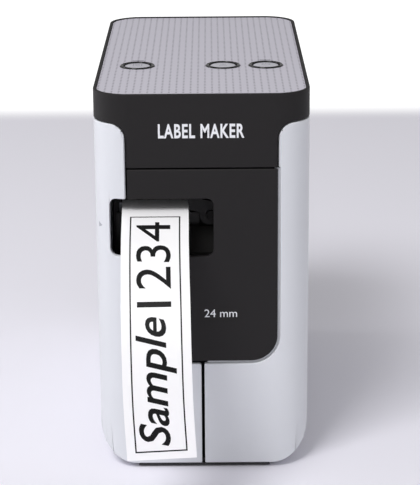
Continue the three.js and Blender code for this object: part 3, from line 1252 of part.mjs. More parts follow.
add('base_tray', baseTray(), BLACK);
add('right_shell', rightShell(), WHITE);
add('cassette_cover', cassetteCover(), WHITE);
add('hinge_rod', rodZ(HINGE_X, HINGE_Y, HINGE_ROD_RADIUS, LOWER_LUG_BOTTOM + 1,
  UPPER_LUG_TOP - 0.2, 12), STEEL);
add('front_panel', frontPanel(), BLACK);
add('rear_panel', rearPanel(), BLACK);
add('top_cap', topCap(), BLACK);
add('top_plate', topPlate(), SILVER);

const BUTTON_NAMES = ['editor', 'feed', 'power'];
BUTTON_XS.forEach((x, index) => {
  add(`${BUTTON_NAMES[index]}_bezel`, bezel(x), GLOSS_BLACK);
  add(`${BUTTON_NAMES[index]}_button`, button(x), PALE);
});
add('editor_lamp', lamp(LAMP_XS[0]), LENS);
add('power_lamp', lamp(LAMP_XS[1]), LENS);
add('key_board', keyBoard(), BOARD_GREEN);

for (const place of footPlaces()) {
  add(place.name, foot(place), DARK_RUBBER);
}
add('battery_cover', batteryCover(), BLACK);
for (let row = 0; row < 2; row += 1) {
  for (let column = 0; column < CELL_COLUMNS; column += 1) {
    add(`battery_cell_${row * CELL_COLUMNS + column + 1}`, batteryCell(column, row), CELL_COPPER);
  }
}
add('battery_contacts_front', batteryContacts(-1), BRIGHT_METAL);
add('battery_contacts_rear', batteryContacts(1), BRIGHT_METAL);

add('chassis_plate', chassisPlate(), GREY);
add('chassis_screw_front', chassisScrew(CHASSIS_POST_YS[0]), STEEL);
add('chassis_screw_rear', chassisScrew(CHASSIS_POST_YS[1]), STEEL);
add('motor_bracket', motorBracket(), STEEL);
add('feed_motor', feedMotor(), STEEL);
add('feed_pinion', feedPinion(), GEAR_WHITE);
add('idler_gear', idlerGear(), GEAR_WHITE);
add('take_up_spindle', takeUpSpindle(), GEAR_WHITE);
add('platen_gear', platenGear(), GEAR_WHITE);
add('platen_shaft', platenShaft(), STEEL);
add('platen_roller', platenRoller(), DARK_RUBBER);
add('roller_holder', rollerHolder(), GREY);
add('holder_spring', holderSpring(), BRIGHT_METAL);
add('print_head', printHead(), PALE);
add('heat_sink', heatSink(), ALUMINIUM);

add('cutter_frame', cutterFrame(), STEEL);
add('fixed_blade', fixedBlade(), BRIGHT_METAL);
add('moving_blade', movingBlade(), BRIGHT_METAL);
add('cutter_pinion', cutterPinion(), GEAR_WHITE);
add('cutter_motor', cutterMotor(), STEEL);
add('exit_guide', exitGuide(), BLACK);

add('cassette_case', cassetteCase(), SMOKE);
add('cassette_lid', cassetteLid(), SMOKE);
add('tape_spool', tapeSpool(), TAPE_WHITE);
add('ribbon_spool', ribbonSpool(), DARK_RUBBER);
add('cassette_tape', cassetteTape(), TAPE_WHITE);
add('label_strip', labelStrip(), TAPE_WHITE);

add('main_board', mainBoard(), BOARD_GREEN);
add('usb_socket', usbSocket(), BRIGHT_METAL);
add('power_jack', powerJack(), GLOSS_BLACK);

export default group;
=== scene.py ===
# Desktop label maker: the finished look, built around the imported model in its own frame.
# Metres, +Z up, +X to the right of someone facing the tape slot, which faces -Y.
import math

import bmesh
import bpy
from mathutils import Matrix, Vector


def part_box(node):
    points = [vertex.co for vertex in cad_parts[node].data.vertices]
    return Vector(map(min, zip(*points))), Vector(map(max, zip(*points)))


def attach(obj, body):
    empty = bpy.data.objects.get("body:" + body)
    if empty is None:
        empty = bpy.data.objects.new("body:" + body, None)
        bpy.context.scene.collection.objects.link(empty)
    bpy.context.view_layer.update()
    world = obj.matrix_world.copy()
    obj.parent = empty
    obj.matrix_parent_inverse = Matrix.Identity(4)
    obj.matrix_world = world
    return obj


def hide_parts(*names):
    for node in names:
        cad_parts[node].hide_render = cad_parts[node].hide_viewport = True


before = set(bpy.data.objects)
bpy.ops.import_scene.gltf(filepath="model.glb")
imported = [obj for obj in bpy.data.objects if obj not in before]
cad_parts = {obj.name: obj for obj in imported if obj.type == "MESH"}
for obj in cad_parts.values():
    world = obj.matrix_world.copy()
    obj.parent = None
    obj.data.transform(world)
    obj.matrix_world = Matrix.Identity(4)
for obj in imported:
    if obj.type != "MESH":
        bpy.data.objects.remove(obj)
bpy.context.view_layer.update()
MM = 0.001

# ---- Camera ---------------------------------------------------------------------------------
# A long lens 72 cm in front of the slot, 17 degrees above level, almost square to the front.
CAMERA_PLACE = (3.158, -724.157, 288.669)
SENSOR_WIDTH, LENS = 36, 139.41
LOOKS_DOWN, TURN, ROLL = 17.189, 0.041, -0.434

camera_data = bpy.data.cameras.new("camera")
camera_data.sensor_width = SENSOR_WIDTH
camera_data.lens = LENS
camera_data.clip_end = 20
camera = bpy.data.objects.new("camera", camera_data)
bpy.context.scene.collection.objects.link(camera)
camera.matrix_world = (
    Matrix.Translation(Vector(CAMERA_PLACE) * MM)
    @ Matrix.Rotation(math.radians(TURN), 4, "Z")
    @ Matrix.Rotation(math.radians(90 - LOOKS_DOWN), 4, "X")
    @ Matrix.Rotation(math.radians(ROLL), 4, "Z")
)
bpy.context.scene.camera = camera
bpy.context.scene.view_settings.view_transform = "Standard"

# ---- Table and backdrop -------------------------------------------------------------------------
# Pale lavender-grey satin laminate table top. It ends in a soft line about half a metre behind the
# machine, in front of a bright white backdrop.
TABLE_EDGE = 506 * MM
FADE_BEFORE, FADE_BEHIND = 25 * MM, 30 * MM
TABLE_HALF_WIDTH = 4.0
BACKDROP_GLOW = 1.2


def linear(hex_colour):
    """An sRGB hex colour as the linear values that shaders take."""
    channels = [int(hex_colour[i:i + 2], 16) / 255 for i in (1, 3, 5)]
    return [c / 12.92 if c <= 0.04045 else ((c + 0.055) / 1.055) ** 2.4 for c in channels] + [1.0]


def node(tree, kind, links=(), **settings):
    """Adds a node, sets its attributes and sockets, and links (socket, source node, source socket)."""
    added = tree.nodes.new(kind)
    for name, value in settings.items():
        if hasattr(added, name):
            setattr(added, name, value)
        else:
            added.inputs[name.replace("_", " ")].default_value = value
    for socket, source, output in links:
        tree.links.new(source.outputs[output], added.inputs[socket])
    return added


def new_material(name, colour, roughness, metallic=0.0, **more):
    """A Principled material; returns the material, its node tree and its shader."""
    material = bpy.data.materials.new(name)
    material.use_nodes = True
    tree = material.node_tree
    shader = tree.nodes["Principled BSDF"]
    shader.inputs["Base Color"].default_value = linear(colour)
    shader.inputs["Roughness"].default_value = roughness
    shader.inputs["Metallic"].default_value = metallic
    for name, value in more.items():
        shader.inputs[name.replace("_", " ")].default_value = value
    return material, tree, shader


def place(tree):
    """Object coordinates, in metres."""
    return node(tree, "ShaderNodeTexCoord")


table_paint, tree, shader = new_material("satin_laminate_table", "#f1eff8", 0.5)
coordinates = place(tree)
split = node(tree, "ShaderNodeSeparateXYZ", [("Vector", coordinates, "Object")])
fade = node(tree, "ShaderNodeMapRange", [("Value", split, "Y")])
fade.inputs["From Min"].default_value = TABLE_EDGE - FADE_BEFORE
fade.inputs["From Max"].default_value = TABLE_EDGE + FADE_BEHIND
fade.interpolation_type = "SMOOTHSTEP"
glow = node(tree, "ShaderNodeEmission", Strength=BACKDROP_GLOW)
blend = node(tree, "ShaderNodeMixShader", [
    ("Fac", fade, "Result"), (1, shader, "BSDF"), (2, glow, "Emission")])
tree.links.new(blend.outputs["Shader"], tree.nodes["Material Output"].inputs["Surface"])

bm = bmesh.new()
bmesh.ops.create_grid(bm, x_segments=1, y_segments=1, size=TABLE_HALF_WIDTH)
table_mesh = bpy.data.meshes.new("table")
bm.to_mesh(table_mesh)
bm.free()
table = bpy.data.objects.new("table", table_mesh)
bpy.context.scene.collection.objects.link(table)
table_mesh.materials.append(table_paint)

# ---- Light ---------------------------------------------------------------------------------------
# A bright white room: one soft box high in front on the left, one low on the left, and a weak one
# on the right.
ROOM_BRIGHTNESS = 0.42
CASE_MIDDLE = (0, 0, 0.07)

world = bpy.data.worlds.new("studio")
bpy.context.scene.world = world
world.use_nodes = True
background = world.node_tree.nodes["Background"]
background.inputs["Color"].default_value = linear("#ffffff")
background.inputs["Strength"].default_value = ROOM_BRIGHTNESS


def soft_box(name, position, width, height, power):
    """A rectangular lamp that looks at the case; metres and watts."""
    data = bpy.data.lights.new(name, "AREA")
    data.shape = "RECTANGLE"
    data.size = width
    data.size_y = height
    data.energy = power
    light = bpy.data.objects.new(name, data)
    bpy.context.scene.collection.objects.link(light)
    light.location = position
    light.rotation_euler = (Vector(CASE_MIDDLE) - Vector(position)).to_track_quat("-Z", "Y").to_euler()


soft_box("left_soft_box", (-0.5, -0.8, 1.3), 0.6, 0.6, 15)
soft_box("side_soft_box", (-1.4, 0.2, 0.35), 0.5, 0.6, 4)
soft_box("right_soft_box", (1.1, -0.9, 0.45), 0.6, 0.6, 1.2)

# ---- White shells --------------------------------------------------------------------------------
# The right shell and the side cover are moulded ABS, 2.2 mm thick, with a fine satin spark finish.
# The side cover is a door: it turns on an upright rod in the round barrel along its rear edge.

# Outlines are drawn in millimetres with a radius at each corner, then extruded along an axis.
# Pieces are cut and joined from such prisms, and their edges are broken like moulded edges.
DRAWN_ACROSS = {
    "X": (Vector((0, 1, 0)), Vector((0, 0, 1)), Vector((1, 0, 0))),
    "Y": (Vector((1, 0, 0)), Vector((0, 0, 1)), Vector((0, 1, 0))),
    "Z": (Vector((1, 0, 0)), Vector((0, 1, 0)), Vector((0, 0, 1))),
}
ARC_STEP = 0.9
MERGE_DISTANCE = 0.04
FLAT_ANGLE = 0.4
FAR = 300


def as_piece(bm, name):
    """Makes an object of a bmesh, and frees it."""
    mesh = bpy.data.meshes.new(name)
    bm.to_mesh(mesh)
    bm.free()
    piece = bpy.data.objects.new(name, mesh)
    bpy.context.scene.collection.objects.link(piece)
    return piece


def prism(corners, axis, low, high, name="prism"):
    """corners are (u, v) or (u, v, radius); X prisms are drawn in Y and Z, Y prisms in X and Z."""
    right, up, along = DRAWN_ACROSS[axis]
    bm = bmesh.new()
    verts = [bm.verts.new((right * c[0] + up * c[1] + along * low) * MM) for c in corners]
    bm.faces.new(verts)
    for vert, corner in zip(verts, corners):
        if len(corner) > 2 and corner[2] > 0:
            steps = max(3, round(corner[2] * math.pi / 2 / ARC_STEP))
            bmesh.ops.bevel(bm, geom=[vert], offset=corner[2] * MM, offset_type="OFFSET",
                            segments=steps, profile=0.5, affect="VERTICES", material=-1)
    grown = bmesh.ops.extrude_face_region(bm, geom=bm.faces[:])
    tips = [item for item in grown["geom"] if isinstance(item, bmesh.types.BMVert)]
    bmesh.ops.translate(bm, verts=tips, vec=along * (high - low) * MM)
    bmesh.ops.recalc_face_normals(bm, faces=bm.faces[:])
    return as_piece(bm, name)


def rectangle(u0, u1, v0, v1, radius=0):
    return [(u0, v0, radius), (u1, v0, radius), (u1, v1, radius), (u0, v1, radius)]


def block(x0, x1, y0, y1, z0, z1):
    return prism(rectangle(x0, x1, y0, y1), "Z", z0, z1)


def rod(axis, u, v, radius, low, high, sides=48):
    """A round bar along an axis, through the point (u, v) across it."""
    right, up, along = DRAWN_ACROSS[axis]
    bm = bmesh.new()
    bmesh.ops.create_circle(bm, cap_ends=True, radius=radius * MM, segments=sides)
    turn = Matrix((right, up, along)).transposed()
    bmesh.ops.transform(bm, matrix=turn.to_4x4(), verts=bm.verts[:])
    bmesh.ops.translate(bm, verts=bm.verts[:], vec=(right * u + up * v + along * low) * MM)
    grown = bmesh.ops.extrude_face_region(bm, geom=bm.faces[:])
    tips = [item for item in grown["geom"] if isinstance(item, bmesh.types.BMVert)]
    bmesh.ops.translate(bm, verts=tips, vec=along * (high - low) * MM)
    bmesh.ops.recalc_face_normals(bm, faces=bm.faces[:])
    return as_piece(bm, "rod")


def settle(piece):
    """Applies the piece's modifiers to its mesh."""
    graph = bpy.context.evaluated_depsgraph_get()
    mesh = bpy.data.meshes.new_from_object(piece.evaluated_get(graph))
    old = piece.data
    piece.modifiers.clear()
    piece.data = mesh
    bpy.data.meshes.remove(old)


def combine(piece, operation, *tools):
    """Cuts, joins or overlaps a piece with others, which are used up."""
    for tool in tools:
        modifier = piece.modifiers.new("combine", "BOOLEAN")
        modifier.operation = operation
        modifier.solver = "EXACT"
        modifier.object = tool
        settle(piece)
        bpy.data.objects.remove(tool)
    return piece


def cut(piece, *tools):
    return combine(piece, "DIFFERENCE", *tools)


def join(piece, *tools):
    return combine(piece, "UNION", *tools)


def keep(piece, *tools):
    return combine(piece, "INTERSECT", *tools)


def soften(piece, width, steps=2, angle=32, rings=()):
    """Breaks the sharp edges to a small radius, in millimetres. Rings are heights at which the
    faces are split, so that the shading of a tall face isn't pulled by a far corner."""
    bm = bmesh.new()
    bm.from_mesh(piece.data)
    bmesh.ops.remove_doubles(bm, verts=bm.verts[:], dist=MERGE_DISTANCE * MM)
    bmesh.ops.dissolve_degenerate(bm, edges=bm.edges[:], dist=MERGE_DISTANCE * MM)
    bmesh.ops.dissolve_limit(bm, angle_limit=math.radians(FLAT_ANGLE), use_dissolve_boundaries=False,
                             verts=bm.verts[:], edges=bm.edges[:], delimit={"NORMAL"})
    for height in rings:
        bmesh.ops.bisect_plane(bm, geom=bm.verts[:] + bm.edges[:] + bm.faces[:],
                               plane_co=(0, 0, height * MM), plane_no=(0, 0, 1), dist=1e-7)
    bm.to_mesh(piece.data)
    bm.free()
    piece.data.shade_smooth()
    modifier = piece.modifiers.new("broken_edges", "BEVEL")
    modifier.width = width * MM
    modifier.segments = steps
    modifier.limit_method = "ANGLE"
    modifier.angle_limit = math.radians(angle)
    modifier.use_clamp_overlap = False
    modifier.miter_outer = "MITER_ARC"
    even = piece.modifiers.new("even_shading", "WEIGHTED_NORMAL")
    even.weight = 100
    return piece


def finish_piece(piece, name, material, body, slot, *nodes):
    """Gives a piece its name, material and moving body, and hides the CAD nodes it stands for. The slot
    argument is not used.
    """
    piece.name = name
    piece.data.name = name
    piece.data.materials.clear()
    piece.data.materials.append(material)
    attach(piece, body)
    if nodes:
        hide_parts(*nodes)
    return piece


def size_of(cad_node):
    """Lowest and highest corner of a CAD node, in millimetres."""
    low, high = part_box(cad_node)
    return [value / MM for value in low], [value / MM for value in high]


cap_low, cap_high = size_of("top_cap")
shell_low, shell_high = size_of("right_shell")
cover_high = size_of("cassette_cover")[1]
panel_low, panel_high = size_of("front_panel")
rod_low, rod_high = size_of("hinge_rod")
rear_low, rear_high = size_of("rear_panel")
HALF_WIDTH, HALF_DEPTH, HEIGHT = cap_high
SHELL_BOTTOM, SIDE_TOP = shell_low[2], shell_high[2]
WALL = 2.2
PLAN_CORNER = 13
BOTTOM_CORNER = 14
SEAM = 0.3
FLAT_HALF = HALF_WIDTH - BOTTOM_CORNER
PANEL_HALF = panel_high[0]
COVER_EDGE = PANEL_HALF + SEAM
SHOULDER = 5.5
GROOVE = 1.0
LIP_TOP = panel_low[2] - GROOVE
PANEL_CORNER = 9.75
HINGE_X = (rod_low[0] + rod_high[0]) / 2
HINGE_Y = (rod_low[1] + rod_high[1]) / 2
BARREL = HALF_DEPTH - HINGE_Y
FRONT_ZONE = -50
SLOT_LEFT, SLOT_RIGHT, SLOT_LOW, SLOT_HIGH, SLOT_CORNER = -33.3, 4, 82.9, 104.5, 2.4
DOOR_SPLIT = HINGE_Y - 3.4
LOWER_LUG_LOW, LOWER_LUG_HIGH = 4.9, 7.9
UPPER_LUG_LOW = SIDE_TOP - 6.3
ROD_HOLE = 1.2
LIP_CORNER, EDGE_CORNER = 1, 1.3


def case_form(inset, bottom, top):
    """The case's outer form, moved in by an inset: round in plan and round at its lower sides."""
    plan = prism(rectangle(-HALF_WIDTH + inset, HALF_WIDTH - inset, -HALF_DEPTH + inset,
                           HALF_DEPTH - inset, PLAN_CORNER - inset), "Z", bottom, top)
    low = SHELL_BOTTOM + inset
    radius = BOTTOM_CORNER - inset
    front = prism([(-HALF_WIDTH + inset, low, radius), (HALF_WIDTH - inset, low, radius),
                   (HALF_WIDTH - inset, FAR), (-HALF_WIDTH + inset, FAR)], "Y", -FAR, FAR)
    return keep(plan, front)


def side_walls():
    """Both sides, the front and the rear of the case as one wall, open below and above."""
    inner_y = HALF_DEPTH - WALL
    return cut(case_form(0, 0, SIDE_TOP), case_form(WALL, -1, HEIGHT + 5),
               block(-FLAT_HALF, FLAT_HALF, -inner_y, inner_y, -1, BOTTOM_CORNER))


def slot_prism():
    """The tape slot, through the front wall."""
    outline = rectangle(SLOT_LEFT, SLOT_RIGHT, SLOT_LOW, SLOT_HIGH, SLOT_CORNER)
    return prism(outline, "Y", -FAR, -HALF_DEPTH + PLAN_CORNER)


cover_front = prism([
    (-FAR, -FAR), (cover_high[0], -FAR), (cover_high[0], LIP_TOP, LIP_CORNER),
    (-COVER_EDGE, LIP_TOP, EDGE_CORNER), (-COVER_EDGE, SIDE_TOP, SHOULDER), (-FAR, SIDE_TOP)],
    "Y", -FAR, FRONT_ZONE)
cover_side = block(-FAR, -FLAT_HALF, FRONT_ZONE - 1, DOOR_SPLIT, -FAR, FAR)
cover_rear = block(-FAR, HINGE_X, HINGE_Y - 4, FAR, -FAR, FAR)
side_cover = keep(side_walls(), join(cover_front, cover_side, cover_rear))
lug_gap = BARREL + 0.4
cut(side_cover,
    block(HINGE_X - lug_gap, HINGE_X + BARREL, HINGE_Y - lug_gap, HALF_DEPTH + 1,
          LOWER_LUG_LOW, LOWER_LUG_HIGH),
    block(HINGE_X - lug_gap, HINGE_X + BARREL, HINGE_Y - lug_gap, HALF_DEPTH + 1,
          UPPER_LUG_LOW, HEIGHT),
    slot_prism())
join(side_cover, rod("Z", HINGE_X, HINGE_Y, BARREL, LOWER_LUG_HIGH, UPPER_LUG_LOW))
cut(side_cover, rod("Z", HINGE_X, HINGE_Y, ROD_HOLE, 0, HEIGHT, 24))

opening = prism([
    (-FAR, LIP_TOP), (PANEL_HALF + GROOVE, LIP_TOP, PANEL_CORNER + GROOVE),
    (PANEL_HALF + GROOVE, cap_low[2]), (COVER_EDGE, cap_low[2]), (COVER_EDGE, SIDE_TOP + 5),
    (-FAR, SIDE_TOP + 5)], "Y", -FAR, FRONT_ZONE)
corner_waste = cut(
    block(COVER_EDGE - 1, COVER_EDGE + SHOULDER, -FAR, FRONT_ZONE, SIDE_TOP - SHOULDER, FAR),
    rod("Y", COVER_EDGE + SHOULDER, SIDE_TOP - SHOULDER, SHOULDER, -FAR, FRONT_ZONE + 1, 40))
right_shell = cut(
    side_walls(), opening, corner_waste,
    block(-FAR, shell_low[0], -FAR, FRONT_ZONE, -FAR, FAR),
    block(-FAR, 0, FRONT_ZONE - 1, FAR, -FAR, FAR),
    block(-1, rear_high[0] + 0.5, DOOR_SPLIT, FAR, -FAR, FAR))

# A sunk ledge behind the panel's edge closes the groove around it.
LEDGE_LEFT, LEDGE_INSET, LEDGE_DROP, LEDGE_FRONT = 1.5, 2.2, 3, 1.3
LEDGE_RIGHT = PANEL_HALF + 4
ledge_top = cap_low[2] - SEAM
ledge_hole = PANEL_HALF + GROOVE - LEDGE_INSET
ledge = cut(
    prism([(LEDGE_LEFT, LIP_TOP - LEDGE_DROP), (LEDGE_RIGHT, LIP_TOP - LEDGE_DROP, PANEL_CORNER + 4),
           (LEDGE_RIGHT, ledge_top), (LEDGE_LEFT, ledge_top)],
          "Y", -HALF_DEPTH + LEDGE_FRONT, -HALF_DEPTH + WALL),
    prism([(-FAR, LIP_TOP + LEDGE_INSET),
           (ledge_hole, LIP_TOP + LEDGE_INSET, PANEL_CORNER + GROOVE - LEDGE_INSET),
           (ledge_hole, FAR), (-FAR, FAR)], "Y", -FAR, FRONT_ZONE))
join(right_shell, ledge)

white_abs, tree, shader = new_material("spark_finished_white_abs", "#d9dbe0", 0.36, IOR=1.53)
coordinates = place(tree)
grain = node(tree, "ShaderNodeTexNoise", [("Vector", coordinates, "Object")],
             Scale=1 / (0.35 * MM), Detail=3.0)
clouding = node(tree, "ShaderNodeTexNoise", [("Vector", coordinates, "Object")],
                Scale=1 / (30 * MM), Detail=2.0)
sheen_range = node(tree, "ShaderNodeMapRange", [("Value", clouding, "Fac")])
sheen_range.inputs["To Min"].default_value = 0.32
sheen_range.inputs["To Max"].default_value = 0.40
tree.links.new(sheen_range.outputs["Result"], shader.inputs["Roughness"])
relief = node(tree, "ShaderNodeBump", [("Height", grain, "Fac")], Strength=0.12, Distance=0.02 * MM)
tree.links.new(relief.outputs["Normal"], shader.inputs["Normal"])

SHELL_EDGE = 0.35
SHELL_RINGS = (18, LIP_TOP - 2, LIP_TOP + 2, 80, 108, SIDE_TOP - SHOULDER - 1.5, SIDE_TOP - 1)
finish_piece(soften(side_cover, SHELL_EDGE, rings=SHELL_RINGS), "side_cover_shell", white_abs,
             "side_cover", "white_plastic", "cassette_cover")
finish_piece(soften(right_shell, SHELL_EDGE, rings=SHELL_RINGS), "right_side_shell", white_abs,
             "housing", "white_plastic", "right_shell")

# A small printed triangle on the side cover shows where the tape leaves.
mark_ink, tree, shader = new_material("pale_grey_printed_ink", "#a9abb2", 0.45)
coordinates = place(tree)
grain = node(tree, "ShaderNodeTexNoise", [("Vector", coordinates, "Object")], Scale=1 / (0.2 * MM))
relief = node(tree, "ShaderNodeBump", [("Height", grain, "Fac")], Strength=0.2, Distance=0.01 * MM)
tree.links.new(relief.outputs["Normal"], shader.inputs["Normal"])
MARK_LEFT, MARK_RIGHT, MARK_HEIGHT, MARK_HALF = -37.6, -36.3, 93.5, 1
MARK_PROUD, MARK_DEPTH = 0.03, 0.3
mark_outline = [(MARK_LEFT, MARK_HEIGHT - MARK_HALF), (MARK_RIGHT, MARK_HEIGHT),
                (MARK_LEFT, MARK_HEIGHT + MARK_HALF)]
exit_mark = keep(prism(mark_outline, "Y", -FAR, -60),
                 cut(case_form(-MARK_PROUD, 90, 100), case_form(MARK_DEPTH, 89, 101)))
finish_piece(exit_mark, "tape_exit_mark", mark_ink, "side_cover", "white_plastic")

# ---- Black cap, lower front and rear ------------------------------------------------------------
# Black moulded ABS with a fine matt texture. The cap closes the case and its skirt covers the upper
# front; the lower front panel snaps in below it and has the tape slot, open towards the side cover.
SKIRT_BOTTOM = cap_low[2]
CAP_EDGE = SIDE_TOP + SEAM
plate_low, plate_high = size_of("top_plate")
DECK_TOP = plate_low[2] - SEAM
DECK = 2.5
DECK_BOTTOM = DECK_TOP - DECK
PLATE_GAP = 0.15
RIM = HALF_WIDTH - plate_high[0] - PLATE_GAP
SHOULDER_X = COVER_EDGE + SHOULDER
skirt_fillet = SHOULDER_X - PANEL_HALF


def fillet_filler(side):
    """The concave corner between the skirt and the cap's lower edge."""
    inner, outer = sorted((side * (PANEL_HALF - 0.5), side * SHOULDER_X))
    return cut(
        block(inner, outer, -FAR, FRONT_ZONE, CAP_EDGE - skirt_fillet, CAP_EDGE + 0.5),
        rod("Y", side * SHOULDER_X, CAP_EDGE - skirt_fillet, skirt_fillet, -FAR, FRONT_ZONE + 1, 48))


cap_zone = join(
    block(-FAR, FAR, -FAR, FAR, CAP_EDGE, FAR),
    block(-PANEL_HALF, PANEL_HALF, -FAR, FRONT_ZONE, SKIRT_BOTTOM, CAP_EDGE + 1),
    fillet_filler(-1), fillet_filler(1))
top_cap = keep(case_form(0, SKIRT_BOTTOM, HEIGHT), cap_zone)
cut(top_cap,
    case_form(WALL, 0, DECK_BOTTOM),
    prism(rectangle(-HALF_WIDTH + RIM, HALF_WIDTH - RIM, -HALF_DEPTH + RIM, HALF_DEPTH - RIM,
                    PLAN_CORNER - RIM), "Z", DECK_TOP, HEIGHT + 1))
KEYS = ("editor", "feed", "power")
WELL_RADIUS = 5.5
for key in KEYS:
    key_low, key_high = size_of(f"{key}_bezel")
    middle = ((key_low[0] + key_high[0]) / 2, (key_low[1] + key_high[1]) / 2)
    cut(top_cap, rod("Z", middle[0], middle[1], WELL_RADIUS, 100, HEIGHT + 1))

# The cap's hinge lug hangs from its deck and holds the upper end of the rod.
LUG_TRIM = 0.2
LUG_REACH = 9
lug_low, lug_high = HINGE_Y - BARREL + LUG_TRIM, HALF_DEPTH - WALL - SEAM
cap_lug_top = SIDE_TOP - 3.6
cap_lug_bottom = cap_lug_top - 2.4
cap_lug = join(
    rod("Z", HINGE_X, HINGE_Y, BARREL - LUG_TRIM, cap_lug_bottom, cap_lug_top),
    block(HINGE_X, HINGE_X + LUG_REACH, lug_low, lug_high, cap_lug_bottom, cap_lug_top),
    block(HINGE_X + 4, HINGE_X + LUG_REACH, lug_low, lug_high, cap_lug_bottom, DECK_BOTTOM + 0.5))
join(top_cap, cap_lug)
cut(top_cap, rod("Z", HINGE_X, HINGE_Y, ROD_HOLE, 0, cap_lug_top + 1, 24))

panel_left = panel_low[0]
panel_top = panel_high[2]
LEFT_CORNER = 1.6
BACKING_INSET = 3.2
front_panel = prism([
    (panel_left, panel_low[2], LEFT_CORNER), (PANEL_HALF, panel_low[2], PANEL_CORNER),
    (PANEL_HALF, panel_top), (panel_left, panel_top)], "Y", -HALF_DEPTH, -HALF_DEPTH + 1)
join(front_panel, prism([
    (panel_left, panel_low[2] + BACKING_INSET, LEFT_CORNER),
    (PANEL_HALF - BACKING_INSET, panel_low[2] + BACKING_INSET, PANEL_CORNER - BACKING_INSET),
    (PANEL_HALF - BACKING_INSET, panel_top - 1), (panel_left, panel_top - 1)],
    "Y", -HALF_DEPTH + 0.8, -HALF_DEPTH + WALL))
cut(front_panel, slot_prism())

# The rear cover has a window for each socket and five cooling slots.
SOCKET_GAP = 0.6
VENTS, VENT_PITCH, VENT_HALF, VENT_HEIGHT = 5, 4, 14, 1.6
usb_low, usb_high = size_of("usb_socket")
jack_low, jack_high = size_of("power_jack")
rear_panel = block(rear_low[0], rear_high[0], rear_low[1], rear_high[1], rear_low[2], rear_high[2])
cut(rear_panel,
    block(usb_low[0] - SEAM, usb_high[0] + SOCKET_GAP, 0, FAR, usb_low[2] - SEAM, usb_high[2] + SEAM),
    block(jack_low[0] - SEAM, jack_high[0] + SOCKET_GAP, 0, FAR,
          jack_low[2] - SEAM, jack_high[2] + SEAM))
for row in range(VENTS):
    vent_z = SIDE_TOP - 14 - VENT_PITCH * row
    cut(rear_panel, prism(rectangle(-VENT_HALF, VENT_HALF, vent_z, vent_z + VENT_HEIGHT, 0.79),
                          "Y", 60, FAR))

black_abs, tree, shader = new_material("matt_textured_black_abs", "#1d1b1c", 0.6, IOR=1.34)
coordinates = place(tree)
grain = node(tree, "ShaderNodeTexNoise", [("Vector", coordinates, "Object")],
             Scale=1 / (0.3 * MM), Detail=4.0)
relief = node(tree, "ShaderNodeBump", [("Height", grain, "Fac")], Strength=0.25, Distance=0.03 * MM)
tree.links.new(relief.outputs["Normal"], shader.inputs["Normal"])

CAP_RINGS = (SKIRT_BOTTOM + 1.5, CAP_EDGE - 7, CAP_EDGE - 2, CAP_EDGE + 1.2, DECK_TOP)
finish_piece(soften(top_cap, 0.4, 3, rings=CAP_RINGS), "cap", black_abs, "housing",
             "black_plastic", "top_cap")
PANEL_RINGS = (panel_low[2] + 11, 80, 107, panel_top - 1.5)
finish_piece(soften(front_panel, 0.45, rings=PANEL_RINGS), "lower_front", black_abs, "housing",
             "black_plastic", "front_panel")
finish_piece(soften(rear_panel, 0.3), "rear_cover", black_abs, "housing", "black_plastic",
             "rear_panel")

# ---- Top plate -----------------------------------------------------------------------------------
# Thin silver-lilac plate, painted satin, set 0.4 mm below the cap's rim. Rows of small dots are
# pressed into it, 2.56 mm apart across the case and 2.6 mm apart along it; the hollow of each dot
# is painted dark grey as painted shade.
DOT_ACROSS, DOT_ALONG, DOT_RADIUS = 2.56, 2.6, 0.38
RING_HOLE = 6.65
top_plate = prism(rectangle(plate_low[0], plate_high[0], plate_low[1], plate_high[1],
                            PLAN_CORNER - RIM - PLATE_GAP), "Z", plate_low[2], plate_high[2])
for key in KEYS:
    key_low, key_high = size_of(f"{key}_bezel")
    cut(top_plate, rod("Z", (key_low[0] + key_high[0]) / 2, (key_low[1] + key_high[1]) / 2,
                       RING_HOLE, 100, HEIGHT + 1, 64))
for lamp in ("editor_lamp", "power_lamp"):
    lamp_low, lamp_high = size_of(lamp)
    cut(top_plate, prism(rectangle(lamp_low[0] - PLATE_GAP, lamp_high[0] + PLATE_GAP,
                                   lamp_low[1] - PLATE_GAP, lamp_high[1] + PLATE_GAP, 0.5),
                         "Z", 100, HEIGHT + 1))

plate_paint_and_dot_shade, tree, shader = new_material("satin_silver_paint_with_pressed_dots", "#c0bdc8", 0.42)
coordinates = place(tree)
lattice = node(tree, "ShaderNodeVectorMath", [(0, coordinates, "Object")], operation="MULTIPLY")
lattice.inputs[1].default_value = (1 / (DOT_ACROSS * MM), 1 / (DOT_ALONG * MM), 0)
cell = node(tree, "ShaderNodeVectorMath", [(0, lattice, "Vector")], operation="FRACTION")
centred = node(tree, "ShaderNodeVectorMath", [(0, cell, "Vector")], operation="SUBTRACT")
centred.inputs[1].default_value = (0.5, 0.5, 0)
distance = node(tree, "ShaderNodeVectorMath", [(0, centred, "Vector")], operation="LENGTH")
dot = node(tree, "ShaderNodeMapRange", [("Value", distance, "Value")])
dot.interpolation_type = "SMOOTHSTEP"
dot.inputs["From Min"].default_value = DOT_RADIUS / DOT_ACROSS * 0.6
dot.inputs["From Max"].default_value = DOT_RADIUS / DOT_ACROSS * 1.3
paint = node(tree, "ShaderNodeMix", [("Factor", dot, "Result")], data_type="RGBA")
# The dark dot colour is painted shade, standing in for the shade inside each pressed hollow.
paint.inputs[6].default_value = linear("#45424c")
paint.inputs[7].default_value = linear("#c0bdc8")
tree.links.new(paint.outputs[2], shader.inputs["Base Color"])
relief = node(tree, "ShaderNodeBump", [("Height", dot, "Result")], Strength=0.6, Distance=0.1 * MM)
tree.links.new(relief.outputs["Normal"], shader.inputs["Normal"])
finish_piece(soften(top_plate, 0.15), "dotted_plate", plate_paint_and_dot_shade, "housing", "silver_plate",
             "top_plate")

